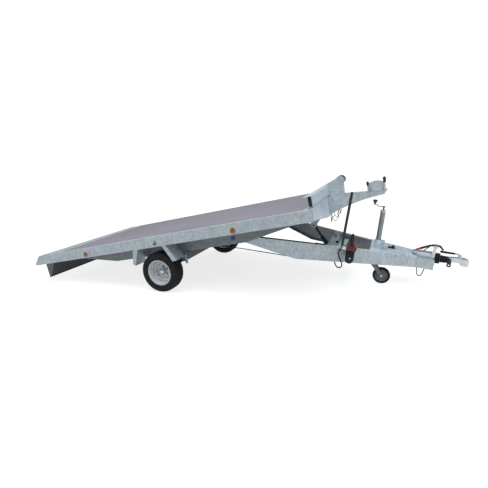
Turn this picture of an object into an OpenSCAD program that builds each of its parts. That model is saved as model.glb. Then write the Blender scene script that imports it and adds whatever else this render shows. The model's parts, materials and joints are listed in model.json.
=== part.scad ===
// Tilt trailer with a flat deck, a V drawbar, a hand pumped ram and a jockey wheel.
// Lengths are in millimetres. X runs forward, Y to the left, Z up.
// The deck is drawn level and then tilted about the wheel centres.
// The drawbar is drawn from the pivot bolts with its own X forward.

/* [Deck] */
// how far the nose of the deck is raised in degrees
deck_tilt = 9.8; // [8:0.1:11]
// height of the deck above the ground when level
deck_top = 740; // [730:1:745]
// half of the overall width
half_width = 1066; // [1060:1:1070]
// front end of the side rails
rail_front = 2080; // [2070:5:2090]
// rear panel behind the wheels
panel_s = -1930; // [-1960:5:-1900]
// height of a side rail
rail_h = 133; // [128:1:134]
// sheet thickness of the rails and brackets
sheet = 3; // [2.5:0.5:3]
// thickness of the floor board
board_t = 15; // [12:1:18]
// outer face of the main beams from the middle
beam_y = 850; // [848:1:852]
// lower edge of the main beams in the middle of their length
beam_low = 457; // [452:1:462]

/* [Running gear] */
// outer radius of a tyre
wheel_r = 262.5; // [260:0.5:265]
// width of a tyre
tyre_w = 195; // [190:1:197]
// outer face of the tyres from the middle
tyre_out = 1060; // [1058:1:1062]
// torsion axle tube ahead of the wheel centres
axle_x = 215; // [210:1:220]
// centre height of the torsion axle tube
axle_z = 365; // [362:1:368]

/* [Drawbar] */
// how far the drawbar slopes down to the front in degrees
bar_pitch = 7.5; // [7.3:0.1:7.7]
// pivot bolts along the deck
pivot_s = 1035; // [1030:1:1040]
// pivot bolts above the ground with the deck level
pivot_z = 528; // [526:1:530]
// outer face of a drawbar arm at the pivot
arm_y = 760; // [756:1:762]
// sideways run of an arm for each unit forward
arm_slope = 0.3; // [0.298:0.001:0.302]
// plate thickness of the arms
arm_t = 5; // [4:1:6]

/* [Jockey] */
// jockey tube ahead of the pivot
jockey_u = 1628; // [1626:1:1630]
// jockey tube to the right of the middle
jockey_y = -110; // [-112:1:-108]
// radius of the jockey wheel
jockey_r = 105; // [104:0.5:106]
// jockey wheel ahead of its tube
jockey_trail = 105; // [100:1:106]

/* [Hidden] */
$fn = 64;
eps = 0.01;
far = 400;

galv = [0.72, 0.75, 0.77];
dark = [0.13, 0.13, 0.14];
brown = [0.32, 0.24, 0.22];
tyre_black = [0.09, 0.09, 0.09];
silver = [0.78, 0.79, 0.8];
orange = [0.95, 0.45, 0.1];
red = [0.7, 0.1, 0.08];

rail_z = deck_top - rail_h;
rail_flange = 45;
board_top = deck_top - 4;
member_h = 56;
member_z = board_top - board_t - member_h;
cross_rear = 1985;
board_rear = -1690;
plate_t = 4;

// The pivot in the tilted frame and the shift that centres the whole trailer.
pivot_wx = pivot_s * cos(deck_tilt) - (pivot_z - wheel_r) * sin(deck_tilt);
pivot_wz = pivot_s * sin(deck_tilt) + (pivot_z - wheel_r) * cos(deck_tilt) + wheel_r;
rear_edge = -2035;
lip_x = -2150;
lip_z = 624;
slant = plate_t * norm([rear_edge - lip_x, deck_top - lip_z]) / (deck_top - lip_z);
ball_u = 2612;
head_r = 50;
lip_wx = lip_x * cos(deck_tilt) - (lip_z - wheel_r) * sin(deck_tilt);
head_wx = pivot_wx + (ball_u + head_r) * cos(bar_pitch) - 26 * sin(bar_pitch);
shift_x = (lip_wx + head_wx) / 2;

// Heights of an arm's top and lower edge at a distance ahead of the pivot.
function arm_top(u) = 22 - 0.035 * u;
elbow_u = 718;
elbow_w = -217;
arm_end = 2090;
arm_end_low = -192;
arm_angle = atan(arm_slope);
arm_flange = 60;
function arm_face(u) = arm_y - arm_slope * u;
bolt_r = 12;
bush_r = 30;

module on_deck() {
    translate([-shift_x, 0, wheel_r])
        rotate([0, -deck_tilt, 0])
            translate([0, 0, -wheel_r])
                children();
}

module on_drawbar() {
    translate([pivot_wx - shift_x, 0, pivot_wz])
        rotate([0, bar_pitch, 0])
            children();
}

// The left side is the right side mirrored.
module left_side() {
    mirror([0, 1, 0])
        children();
}

// A profile drawn in Y and Z and drawn out along X.
module along_x(x0, x1) {
    translate([x0, 0, 0])
        rotate([90, 0, 90])
            linear_extrude(x1 - x0)
                children();
}

// A profile drawn in X and Z and drawn out along Y.
module along_y(y0, y1) {
    translate([0, y1, 0])
        rotate([90, 0, 0])
            linear_extrude(y1 - y0)
                children();
}

// A round bar along Y.
module rod_y(x, z, r, y0, y1) {
    translate([x, y1, z])
        rotate([90, 0, 0])
            cylinder(r = r, h = y1 - y0);
}

// A hexagon bolt head or nut along Y.
module hex_y(x, z, r, y0, y1) {
    translate([x, y1, z])
        rotate([90, 0, 0])
            cylinder(r = r, h = y1 - y0, $fn = 6);
}

// Deck

module floor_board() {
    color(brown)
        on_deck()
            translate([board_rear, -half_width + 40, board_top - board_t])
                cube([cross_rear - board_rear, 2 * half_width - 80, board_t]);
}

module rail_profile() {
    y = -half_width;
    polygon([[y, rail_z], [y + rail_flange, rail_z], [y + rail_flange, rail_z + sheet],
        [y + sheet, rail_z + sheet], [y + sheet, deck_top - sheet],
        [y + 40 - sheet, deck_top - sheet], [y + 40 - sheet, deck_top - board_t - 4],
        [y + 40, deck_top - board_t - 4], [y + 40, deck_top], [y, deck_top]]);
}

// Side view of a rail with its slanting tail.
module rail_side() {
    polygon([[lip_x + slant, lip_z], [lip_x + 18, rail_z - 1], [rail_front, rail_z - 1],
        [rail_front, deck_top + 1], [rear_edge + slant + 1, deck_top + 1]]);
}

module side_rail() {
    on_deck() {
        intersection() {
            along_x(lip_x, rail_front)
                rail_profile();
            along_y(-half_width - 1, -half_width + rail_flange + 1)
                rail_side();
        }
        translate([rail_front - sheet, -half_width + sheet, rail_z + sheet])
            cube([sheet, rail_flange - sheet, rail_h - 2 * sheet]);
    }
}

module side_rail_right() {
    color(galv)
        side_rail();
}

module side_rail_left() {
    color(galv)
        left_side()
            side_rail();
}

// Outline of a main beam, deep between the axle and the pivot.
beam_rear = panel_s + sheet;
beam_t = 5;
beam_flange = 50;
module beam_outline(t, over) {
    polygon([[beam_rear - over, rail_z + t], [-1620, rail_z + t], [-800, beam_low + t],
        [1200, beam_low + t], [cross_rear + over, 600 + t],
        [cross_rear + over, member_z - t], [beam_rear - over, member_z - t]]);
}

module main_beam() {
    on_deck()
        difference() {
            along_y(-beam_y, -beam_y + beam_flange)
                beam_outline(0, 0);
            along_y(-beam_y + beam_t, -beam_y + beam_flange + eps)
                beam_outline(beam_t, eps);
            rod_y(pivot_s, pivot_z, bolt_r, -beam_y - 1, -beam_y + beam_t + 1);
        }
}

module main_beam_right() {
    color(galv)
        main_beam();
}

module main_beam_left() {
    color(galv)
        left_side()
            main_beam();
}

member_at = [-1700, -1230, -760, -290, 190, 600, 1010, 1420, 1780];
module cross_members() {
    half = half_width - sheet;
    color(galv)
        on_deck()
            for (s = member_at)
                along_y(-half, half)
                    translate([s, member_z])
                        polygon([[0, 0], [50, 0], [50, 3], [3, 3], [3, member_h - 3],
                            [50, member_h - 3], [50, member_h], [0, member_h]]);
}

// The rear plate is bent down over the slanting ends of the rails.
module rear_plate() {
    inner = half_width - 40;
    under = board_top - plate_t;
    color(galv)
        on_deck() {
            along_y(-inner, inner)
                polygon([[rear_edge - 3, under], [rear_edge - 3, board_top],
                    [board_rear, board_top], [board_rear, board_top - board_t],
                    [board_rear - plate_t, board_top - board_t],
                    [board_rear - plate_t, under]]);
            along_y(-half_width, half_width)
                polygon([[rear_edge, deck_top], [rear_edge + slant, deck_top],
                    [lip_x + slant, lip_z], [lip_x, lip_z]]);
        }
}

panel_low = 406;
module rear_panel() {
    inner = half_width - rail_flange;
    color(galv)
        on_deck() {
            translate([panel_s, -half_width, panel_low])
                cube([sheet, 2 * half_width, rail_z - panel_low]);
            translate([panel_s, -inner, rail_z])
                cube([sheet, 2 * inner, board_top - plate_t - rail_z]);
            translate([panel_s, -half_width, panel_low])
                cube([28, 2 * half_width, sheet]);
            for (y = [-half_width, half_width - sheet])
                along_y(y, y + sheet)
                    polygon([[panel_s, panel_low], [panel_s + 28, panel_low],
                        [panel_s + 165, rail_z], [panel_s, rail_z]]);
        }
}

module tail_lamps() {
    color(red)
        on_deck()
            for (side = [-1, 1])
                translate([panel_s - 32, side * 900 - 115, 470])
                    cube([32, 230, 110]);
}

// The crossbeam under the front edge is deepest in the middle.
module crossbeam_outline(t) {
    reach = half_width - rail_flange;
    polygon([[-reach, rail_z + 4 + t], [-200, 500 + t], [200, 500 + t],
        [reach, rail_z + 4 + t], [reach, board_top - t], [-reach, board_top - t]]);
}

module front_crossbeam() {
    color(galv)
        on_deck()
            difference() {
                along_x(cross_rear, rail_front)
                    crossbeam_outline(0);
                along_x(cross_rear - 1, rail_front - 5)
                    crossbeam_outline(5);
            }
}

// The front stop is a box section with a flange along its rear upper edge.
// It stands on four feet and is braced against the boom.
stop_front = 2104;
stop_rear = 2058;
stop_low = 760;
stop_top = 873;
stop_reach = 1040;
module front_stop() {
    color(galv)
        on_deck() {
            along_y(-stop_reach, stop_reach)
                difference() {
                    union() {
                        translate([stop_rear, stop_low])
                            square([stop_front - stop_rear, stop_top - stop_low]);
                        translate([stop_rear - 48, stop_top - sheet])
                            square([50, sheet]);
                    }
                    translate([stop_rear + sheet, stop_low + sheet])
                        square([stop_front - stop_rear - 2 * sheet,
                            stop_top - stop_low - 2 * sheet]);
                }
            for (y = [-900, -300, 300, 900])
                translate([rail_front - 60, y - 40, board_top])
                    cube([60, 80, stop_low - board_top]);
        }
}

// Side view of the boom, its lower edge a smooth curve.
boom_half = 50;
boom_tip = 2800;
function bend(a, b, c, t) = (1 - t) * (1 - t) * a + 2 * t * (1 - t) * b + t * t * c;
boom_steps = 10;
top_line = [[rail_front, 740], [2300, 740], [2547, 716], [boom_tip, 700]];
boom_lean = atan((716 - 700) / (boom_tip - 2547));
module boom_outline() {
    low = [for (i = [boom_steps : -1 : 0])
        let (k = i / boom_steps)
        [bend(rail_front, 2370, boom_tip - 45, k), bend(505, 630, 648, k)]];
    polygon(concat(top_line, low));
}

// Side view of the brace that runs from the boom up to the front stop.
brace_s = 2280;
brace_z = 918;
brace_r = 50;
module brace_side() {
    translate([brace_s, brace_z])
        circle(r = brace_r);
    polygon([[stop_front, deck_top], [2295, deck_top], [2303, 870],
        [brace_s + 42, brace_z - 27], [brace_s - 20, brace_z + 45],
        [2040, stop_top + 3], [2040, stop_top], [stop_front, stop_top]]);
}

module boom_brace() {
    for (side = [-1, 1])
        along_y(side * 35 - 3, side * 35 + 3)
            brace_side();
    along_y(-33, 33) {
        polygon([[2040, stop_top], [2040, stop_top + 3], [brace_s - 20, brace_z + 45],
            [brace_s - 18, brace_z + 40], [2050, stop_top]]);
        polygon([[2290, deck_top], [2295, deck_top], [2303, 870], [2298, 870]]);
    }
    rod_y(brace_s, brace_z, 16, -33, 33);
}

module boom() {
    color(galv)
        on_deck() {
            difference() {
                along_y(-boom_half, boom_half)
                    boom_outline();
                along_y(-boom_half + 5, boom_half - 5)
                    translate([0, -5.5])
                        boom_outline();
            }
            boom_brace();
        }
}

// Frame of the winch bracket, on the sloping top of the boom.
bracket_s = 2675;
post_at = [-105, 91];
post_top = [80, 94];
post_t = 14;
cap_h = [36, 56];
cap_w = [26, 34];
module on_boom() {
    on_deck()
        translate([bracket_s, 0, lookup(bracket_s, top_line)])
            rotate([0, boom_lean, 0])
                children();
}

module winch_bracket() {
    color(galv)
        on_boom() {
            translate([-105, -60, 0])
                cube([210, 120, 8]);
            for (i = [0, 1])
                translate([post_at[i], -35, 8])
                    cube([post_t, 70, post_top[i] - 8]);
            along_y(-4, 4)
                intersection() {
                    polygon([[-92, 8], [92, 8], [92, post_top[1] - 1], [80, post_top[1] - 1],
                        [80, 128], [-84, 128], [-84, post_top[0] - 1],
                        [-92, post_top[0] - 1]]);
                    translate([0, -34])
                        circle(r = 152);
                }
        }
}

// Rubber plugs in the ends of the front stop and caps on the winch bracket's posts.
module rubber_caps() {
    plug_y = stop_reach - 18;
    color(dark) {
        on_deck()
            for (side = [-1, 1])
                translate([stop_rear + sheet, side * plug_y - 6, stop_low + sheet])
                    cube([stop_front - stop_rear - 2 * sheet, 12,
                        stop_top - stop_low - 2 * sheet]);
        on_boom()
            for (i = [0, 1])
                translate([post_at[i] + (post_t - cap_w[i]) / 2, -39, post_top[i]])
                    cube([cap_w[i], 78, cap_h[i]]);
    }
}

// A mudguard has a flat top, two slanting flaps with outer flanges, and a bracket.
module mudguard() {
    outer = -half_width + 6;
    inner = -beam_y - 6;
    top = rail_z - sheet;
    on_deck() {
        along_y(outer, inner)
            polygon([[-333, 398], [-329, 397], [-236, top], [204, top], [308, 394],
                [312, 395], [206, rail_z], [-240, rail_z]]);
        along_y(outer, outer + 3) {
            polygon([[-307, rail_z], [-236, rail_z], [-329, 397], [-364, 421]]);
            polygon([[148, rail_z], [206, rail_z], [312, 395], [251, 391]]);
        }
        along_y(inner - 4, inner)
            polygon([[306, 300], [341, 300], [341, 407], [303, 407]]);
    }
}

module mudguards() {
    color(galv) {
        mudguard();
        left_side()
            mudguard();
    }
}

tube_half = 48;
tube_end = 800;
pin_r = 31;
module axle_tube() {
    color(galv)
        on_deck() {
            difference() {
                translate([axle_x - tube_half, -tube_end, axle_z - tube_half])
                    cube([2 * tube_half, 2 * tube_end, 2 * tube_half]);
                for (side = [0, 1])
                    mirror([0, side, 0])
                        rod_y(axle_x, axle_z, pin_r + 0.05, -tube_end - 1, -tube_end + 90);
            }
            for (side = [0, 1])
                mirror([0, side, 0]) {
                    translate([axle_x - 70, -tube_end, axle_z + tube_half])
                        cube([140, 45, beam_low - 17 - axle_z - tube_half]);
                    translate([axle_x - 70, -beam_y + beam_t, beam_low - 17])
                        cube([140, beam_y - beam_t - tube_end + 45, 17]);
                }
        }
}

ram_top_s = 1840;
ram_top_z = 400;
module ram_bracket() {
    color(galv)
        on_deck()
            for (side = [-1, 1])
                along_y(side * 40 - 4, side * 40 + 4) {
                    translate([ram_top_s, ram_top_z])
                        circle(r = 32);
                    polygon([[ram_top_s - 32, ram_top_z], [ram_top_s + 32, ram_top_z],
                        [cross_rear, 520], [cross_rear, member_z],
                        [ram_top_s - 60, member_z]]);
                }
}

lug_y = 672;
module pivot_fittings() {
    color(galv)
        on_deck()
            for (side = [0, 1])
                mirror([0, side, 0]) {
                    rod_y(pivot_s, pivot_z, bolt_r, -beam_y - 10, -lug_y + 34);
                    hex_y(pivot_s, pivot_z, 21, -beam_y - 24, -beam_y - 10);
                    rod_y(pivot_s, pivot_z, 26, -beam_y - 10, -beam_y);
                    rod_y(pivot_s, pivot_z, 26, -beam_y + beam_t, -arm_y - 48);
                    hex_y(pivot_s, pivot_z, 21, -lug_y + 8, -lug_y + 30);
                    along_y(-lug_y, -lug_y + 8)
                        polygon([[pivot_s - 60, member_z], [pivot_s - 30, pivot_z - 36],
                            [pivot_s + 30, pivot_z - 36], [pivot_s + 60, member_z]]);
                }
}

module side_reflectors() {
    color(orange)
        on_deck()
            for (side = [0, 1], s = [-1117, 1158])
                mirror([0, side, 0])
                    rod_y(s, 652, 30, -half_width - 9, -half_width);
}

// Running gear

arm_in = 812;
arm_out = 842;
module swing_arm() {
    long = sqrt(axle_x * axle_x + (axle_z - wheel_r) * (axle_z - wheel_r));
    lean = atan2(axle_z - wheel_r, axle_x);
    on_deck() {
        along_y(-arm_out, -arm_in) {
            translate([axle_x, axle_z])
                circle(r = 48);
            translate([0, wheel_r])
                circle(r = 42);
            translate([0, wheel_r])
                rotate(lean)
                    translate([0, -36])
                        square([long, 72]);
        }
        rod_y(axle_x, axle_z, pin_r, -arm_out + 5, -tube_end + 80);
        rod_y(0, wheel_r, 30, -arm_out - 10, -arm_in - 5);
        rod_y(0, wheel_r, 118, -arm_out - 12, -arm_out - 8);
        rod_y(0, wheel_r, 20, -arm_out - 60, -arm_in - 10);
    }
}

module swing_arm_right() {
    color(galv)
        swing_arm();
}

module swing_arm_left() {
    color(galv)
        left_side()
            swing_arm();
}

// A wheel part is revolved about Y with Y measured from the middle of the trailer.
module wheel_turn() {
    on_deck()
        translate([0, 0, wheel_r])
            rotate([90, 0, 0])
                rotate_extrude($fn = 96)
                    children();
}

drum_in = arm_out + 18;
drum_out = 930;
module wheel_hub() {
    wheel_turn()
        polygon([[20.05, drum_in], [112, drum_in], [112, drum_out - 4], [108, drum_out],
            [33, drum_out], [33, drum_out + 50], [26, drum_out + 62], [0, drum_out + 62],
            [0, arm_out + 62], [20.05, arm_out + 62]]);
}

module wheel_hub_right() {
    color(dark)
        wheel_hub();
}

module wheel_hub_left() {
    color(dark)
        left_side()
            wheel_hub();
}

mid_y = tyre_out - tyre_w / 2;
bead_r = 157;
module rim_section() {
    translate([0, mid_y]) {
        polygon([[169, -85], [169, -81], [bead_r, -81], [bead_r, -40], [145, -30],
            [145, 14], [bead_r, 26], [bead_r, 81], [169, 81], [169, 85], [153, 85],
            [153, 29], [141, 17], [141, -33], [153, -43], [153, -85]]);
        polygon([[33.2, -32.5], [97, -32.5], [108, -20], [119, 0], [128, 3], [135, -2],
            [138, -10], [138, -30], [143, -30], [143, -8], [139, 3], [130, 9],
            [116, 6], [104, -16], [95, -28.5], [33.2, -28.5]]);
    }
}

slots = 12;
module rim() {
    difference() {
        wheel_turn()
            rim_section();
        on_deck()
            translate([0, 0, wheel_r])
                for (i = [0 : slots - 1])
                    rotate([0, i * 360 / slots, 0])
                        translate([102, -drum_out - 60, -8])
                            cube([12, 70, 16]);
    }
}

module rim_right() {
    color(silver)
        rim();
}

module rim_left() {
    color(silver)
        left_side()
            rim();
}

module tyre_section() {
    w = tyre_w / 2;
    translate([0, mid_y])
        difference() {
            polygon([[bead_r, -68], [bead_r, -80.5], [171, -80.5], [182, -92], [200, -w],
                [236, -w + 1], [253, -w + 9], [261, -w + 22], [wheel_r, -w + 46],
                [wheel_r, w - 46], [261, w - 22], [253, w - 9], [236, w - 1], [200, w],
                [182, 92], [171, 80.5], [bead_r, 80.5], [bead_r, 68], [182, 76],
                [222, w - 16], [244, 50], [246, 0], [244, -50], [222, -w + 16],
                [182, -76]]);
            for (y = [-38, -13, 13, 38])
                translate([wheel_r - 7, y - 3])
                    square([8, 6]);
        }
}

module tyre_right() {
    color(tyre_black)
        wheel_turn()
            tyre_section();
}

module tyre_left() {
    color(tyre_black)
        left_side()
            wheel_turn()
                tyre_section();
}

// Drawbar

// Side view of an arm, drawn along its own slanting face.
module arm_outline(t, over) {
    k = 1 / cos(arm_angle);
    end = arm_end + 40;
    polygon([[-30 * k - over, arm_top(0) - 48 + t], [elbow_u * k, elbow_w + t],
        [end * k + over, arm_end_low + t], [end * k + over, arm_top(end) - t],
        [-30 * k - over, arm_top(0) - t]]);
}

module drawbar_arm() {
    on_drawbar()
        difference() {
            union() {
                difference() {
                    translate([0, -arm_y, 0])
                        rotate([0, 0, arm_angle])
                            difference() {
                                along_y(0, arm_flange)
                                    arm_outline(0, 0);
                                along_y(arm_t, arm_flange + eps)
                                    arm_outline(arm_t, eps);
                            }
                    translate([arm_end, -far, -far])
                        cube([far, 2 * far, 2 * far]);
                    rod_y(0, 0, bush_r - eps, -arm_y - 60, -arm_y + 120);
                }
                rod_y(0, 0, bush_r, -arm_y - 44, -lug_y - 4);
            }
            rod_y(0, 0, bolt_r + 0.1, -arm_y - 45, -lug_y);
        }
}

module drawbar_arm_right() {
    color(galv)
        drawbar_arm();
}

module drawbar_arm_left() {
    color(galv)
        left_side()
            drawbar_arm();
}

nose_half = 131;
nose_end = 2285;
nose_top = -76;
nose_low = -192;
house_half = 52;
house_low = -112;
module drawbar_nose() {
    color(galv)
        on_drawbar()
            difference() {
                translate([arm_end, -nose_half, nose_low])
                    cube([nose_end - arm_end, 2 * nose_half, nose_top - nose_low]);
                translate([arm_end - 1, -nose_half + 5, nose_low + 5])
                    cube([nose_end - arm_end - 4, 2 * nose_half - 10, nose_top - nose_low - 10]);
                translate([arm_end - 1, -house_half - 1, house_low])
                    cube([nose_end - arm_end + 2, 2 * house_half + 2, far]);
            }
}

// The cross member fits between the arms. It carries the two lugs that hold the
// ram's foot pin and take the locking pin when the deck is level.
member_u = 1150;
lug_in = 64;
lug_t = 8;
foot_u = 1090;
foot_w = -220;
foot_r = 10;
module drawbar_crossmember() {
    web = arm_t / cos(arm_angle);
    near = arm_face(member_u - 1) - web;
    distant = arm_face(member_u + 101) - web;
    color(galv)
        on_drawbar() {
            intersection() {
                along_y(-far, far)
                    translate([member_u, -190])
                        polygon([[0, 0], [100, 0], [100, 5], [5, 5], [5, 95], [100, 95],
                            [100, 100], [0, 100]]);
                translate([0, 0, -far])
                    linear_extrude(far)
                        polygon([[member_u - 1, -near], [member_u + 101, -distant],
                            [member_u + 101, distant], [member_u - 1, near]]);
            }
            for (side = [-1, 1])
                lock_lug(side * (lug_in + lug_t / 2));
            rod_y(hose_end_u, hose_end_w, 11, -hose_end_y, -lug_in - lug_t);
            rod_y(foot_u, foot_w, foot_r, -lug_in - 1, lug_in + 1);
            for (side = [0, 1])
                mirror([0, side, 0])
                    hex_y(foot_u, foot_w, 17, -lug_in - lug_t - 12, -lug_in - lug_t);
        }
}

module lock_lug(y) {
    along_y(y - lug_t / 2, y + lug_t / 2)
        difference() {
            union() {
                translate([foot_u, foot_w])
                    circle(r = 34);
                translate([1108, 34])
                    circle(r = 26);
                polygon([[foot_u - 34, foot_w], [1016, -108], [1083, 42],
                    [1130, 48], [member_u, -40], [member_u, foot_w - 20],
                    [foot_u, foot_w - 34]]);
            }
            translate([1108, 34])
                circle(r = 11);
        }
}

plate_u = 1680;
plate_rear = 1550;
plate_front = 2040;
outer_r = 30;
clamp_h = 112;
module jockey_plate() {
    rear_y = arm_face(plate_rear);
    front_y = arm_face(plate_front);
    color(galv)
        on_drawbar() {
            translate([plate_u, 0, arm_top(plate_u)])
                rotate([0, atan(0.035), 0])
                    linear_extrude(6)
                        difference() {
                            polygon([[plate_rear - plate_u, -rear_y],
                                [plate_front - plate_u, -front_y],
                                [plate_front - plate_u, front_y],
                                [plate_rear - plate_u, rear_y]]);
                            translate([jockey_u - plate_u, jockey_y])
                                circle(r = 33);
                        }
            translate([jockey_u, jockey_y, -34])
                linear_extrude(clamp_h)
                    difference() {
                        union() {
                            circle(r = 40);
                            translate([0, -14])
                                square([78, 28]);
                        }
                        circle(r = outer_r);
                        translate([20, -2])
                            square([80, 4]);
                    }
        }
}

module jockey_outer_tube() {
    color(silver)
        on_drawbar()
            translate([jockey_u, jockey_y, -70])
                difference() {
                    cylinder(r = outer_r, h = 512);
                    translate([0, 0, -1])
                        cylinder(r = 26.5, h = 507);
                    translate([0, 0, 500])
                        cylinder(r = 10.1, h = 14);
                }
}

loop_r = 7;
module safety_loop() {
    cu = 2163;
    cw = -300;
    bend_r = 28;
    lean = 12;
    color(silver)
        on_drawbar()
            translate([cu, 0, cw]) {
                rotate([90, 0, 0])
                    rotate([0, 0, 180 + lean])
                        rotate_extrude(angle = 180 - 2 * lean)
                            translate([bend_r, 0])
                                circle(r = loop_r, $fn = 24);
                difference() {
                    for (side = [0, 1])
                        mirror([side, 0, 0])
                            rotate([0, lean, 0])
                                translate([bend_r, 0, 0])
                                    cylinder(r = loop_r, h = 125, $fn = 24);
                    translate([-far / 2, -far / 2, nose_low - cw])
                        cube(far);
                }
            }
}

tube_w = -72;
tube_r = 25;
head_u = 2455;
ball_w = -98;
handle_u = 2560;
handle_w = -8;
lever_u = 2262;
lever_w = -30;
lever_y = -84;

// The pressed head is where its side view and its top view cross.
module head_form() {
    intersection() {
        along_y(-60, 60)
            polygon([[head_u - 5, -104], [head_u - 5, -38], [2490, -30], [2545, -28],
                [2610, -28], [2648, -38], [2670, -64], [2670, -112], [2572, -112],
                [2548, -84], [2490, -88]]);
        translate([0, 0, -130])
            linear_extrude(120)
                union() {
                    translate([ball_u, 0])
                        circle(r = head_r);
                    polygon([[head_u - 5, -36], [2500, -29], [2560, -33], [2600, -48],
                        [2600, 48], [2560, 33], [2500, 29], [head_u - 5, 36]]);
                }
    }
}

module coupling_head() {
    color(silver)
        on_drawbar() {
            translate([2045, -house_half, house_low])
                cube([nose_end - 2045, 2 * house_half, nose_top + 64 - house_low]);
            translate([nose_end, 0, tube_w])
                rotate([0, 90, 0])
                    cylinder(r = tube_r, h = head_u - nose_end);
            rod_y(lever_u, lever_w, 14, lever_y + 5.5, -house_half + 1);
            rod_y(lever_u, lever_w, 8, lever_y - 6, lever_y + 6);
            hex_y(lever_u, lever_w, 14, lever_y - 14, lever_y - 5.5);
            difference() {
                union() {
                    head_form();
                    for (side = [-1, 1])
                        along_y(side * 20 - 3, side * 20 + 3)
                            polygon([[handle_u - 22, -30], [handle_u + 22, -30],
                                [handle_u + 12, 4], [handle_u - 12, 4]]);
                    rod_y(handle_u, handle_w, 5, -27, 27);
                }
                translate([ball_u, 0, ball_w])
                    sphere(r = 25.5);
                translate([ball_u, 0, -130])
                    cylinder(r = 25.5, h = 130 + ball_w);
            }
        }
}

// The bellows have four wide folds and then five narrow ones.
module bellows() {
    wide = 4;
    narrow = 5;
    pitch = 16;
    step = wide * pitch;
    color(dark)
        on_drawbar()
            translate([nose_end, 0, tube_w])
                rotate([0, 90, 0])
                    rotate_extrude()
                        polygon(concat([[tube_r, 0]],
                            [for (i = [0 : wide - 1], k = [0, 1])
                                [(k == 0 ? 58 : 69) - i, (i + k / 2) * pitch]],
                            [[52, step], [40, step + 7]],
                            [for (i = [0 : narrow - 1], k = [0, 1])
                                [(k == 0 ? 40 : 47) - i, step + 7 + (i + k / 2) * pitch]],
                            [[38, step + 90], [tube_r, step + 90]]));
}

module coupling_handle() {
    color(dark)
        on_drawbar()
            difference() {
                union() {
                    rod_y(handle_u, handle_w, 14, -16, 16);
                    along_y(-14, 14)
                        polygon([[2338, 6], [2336, 20], [2350, 27], [2500, 24], [2545, 19],
                            [handle_u - 7, handle_w + 9], [handle_u - 8, handle_w - 8],
                            [2520, 2], [2500, 6], [2360, 3]]);
                }
                rod_y(handle_u, handle_w, 5.05, -17, 17);
            }
}

module handbrake_lever() {
    color(dark)
        on_drawbar() {
            along_y(lever_y - 5, lever_y + 5)
                difference() {
                    union() {
                        translate([lever_u, lever_w])
                            circle(r = 18);
                        polygon([[lever_u - 16, lever_w], [lever_u + 16, lever_w],
                            [2284, 58], [2304, 84], [2348, 50], [2362, 60], [2322, 108],
                            [2236, 110], [2204, 96], [2214, 80], [2236, 84], [2250, 60]]);
                    }
                    translate([lever_u, lever_w])
                        circle(r = 8.05);
                }
            translate([2112, lever_y, 40])
                rotate([0, 64, 0])
                    cylinder(r = 14, h = 118);
            translate([2114, lever_y, 41])
                rotate([0, -114, 0])
                    cylinder(r = 11, h = 52);
        }
}

// Ram, pump and pump lever

ram_top_x = ram_top_s * cos(deck_tilt) - (ram_top_z - wheel_r) * sin(deck_tilt);
ram_top_h = ram_top_s * sin(deck_tilt) + (ram_top_z - wheel_r) * cos(deck_tilt) + wheel_r;
foot_x = pivot_wx + foot_u * cos(bar_pitch) + foot_w * sin(bar_pitch);
foot_z = pivot_wz - foot_u * sin(bar_pitch) + foot_w * cos(bar_pitch);
ram_real = sqrt((ram_top_x - foot_x) ^ 2 + (ram_top_h - foot_z) ^ 2);
ram_lean = atan2(ram_top_x - foot_x, ram_top_h - foot_z);

// Frame of the ram, Z running from its foot pin to its top pin.
module on_ram() {
    translate([foot_x - shift_x, 0, foot_z])
        rotate([0, ram_lean, 0])
            children();
}

barrel_r = 29;
barrel_h = 250;
rod_r = 18;
module ram_barrel() {
    color(dark)
        on_ram()
            difference() {
                union() {
                    rod_y(0, 0, 24, -26, 26);
                    translate([0, 0, 14])
                        cylinder(r = barrel_r, h = barrel_h - 14);
                }
                translate([0, 0, 34])
                    cylinder(r = rod_r + 0.05, h = barrel_h);
                rod_y(0, 0, foot_r + 0.05, -27, 27);
            }
}

module ram_rod() {
    color(dark)
        on_ram() {
            translate([0, 0, 200])
                cylinder(r = rod_r, h = ram_real - 200);
            rod_y(0, ram_real, 24, -22, 22);
        }
}

pump_u = 1345;
pump_y = -379;
lever_pu = 1239;
lever_pw = 6;
tank_r = 48;
tank_w = -128;
block_rear = pump_u - 52;
hose_r = 8;
gland_u = block_rear - 14;
gland_y = -404;
gland_w = -18;
module pump() {
    y = pump_y;
    color(dark)
        on_drawbar() {
            along_y(y - 118, y - 22) {
                translate([pump_u, tank_w])
                    circle(r = tank_r);
                translate([pump_u - tank_r, tank_w])
                    square([2 * tank_r, -28 - tank_w]);
            }
            translate([block_rear, y - 106, -30])
                cube([112, 84, 58]);
            translate([gland_u, gland_y, gland_w])
                rotate([0, 90, 0])
                    cylinder(r = 9, h = 15);
            translate([pump_u + 2, y - 64, 26])
                cylinder(r = 20, h = 134);
            translate([pump_u + 2, y - 64, 160])
                cylinder(r1 = 20, r2 = 11, h = 18);
            for (v = [y - 96, y - 48])
                along_y(v, v + 12) {
                    translate([pump_u - 110, -20])
                        square([62, 44]);
                    translate([lever_pu, lever_pw])
                        circle(r = 17);
                }
            rod_y(lever_pu, lever_pw, 7, y - 101, y - 31);
            translate([0, 0, -100])
                linear_extrude(60)
                    for (u = [pump_u - 44, pump_u + 36])
                        polygon([[u, y - 23], [u + 8, y - 23], [u + 8, -arm_face(u + 8)],
                            [u, -arm_face(u)]]);
        }
}

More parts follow.
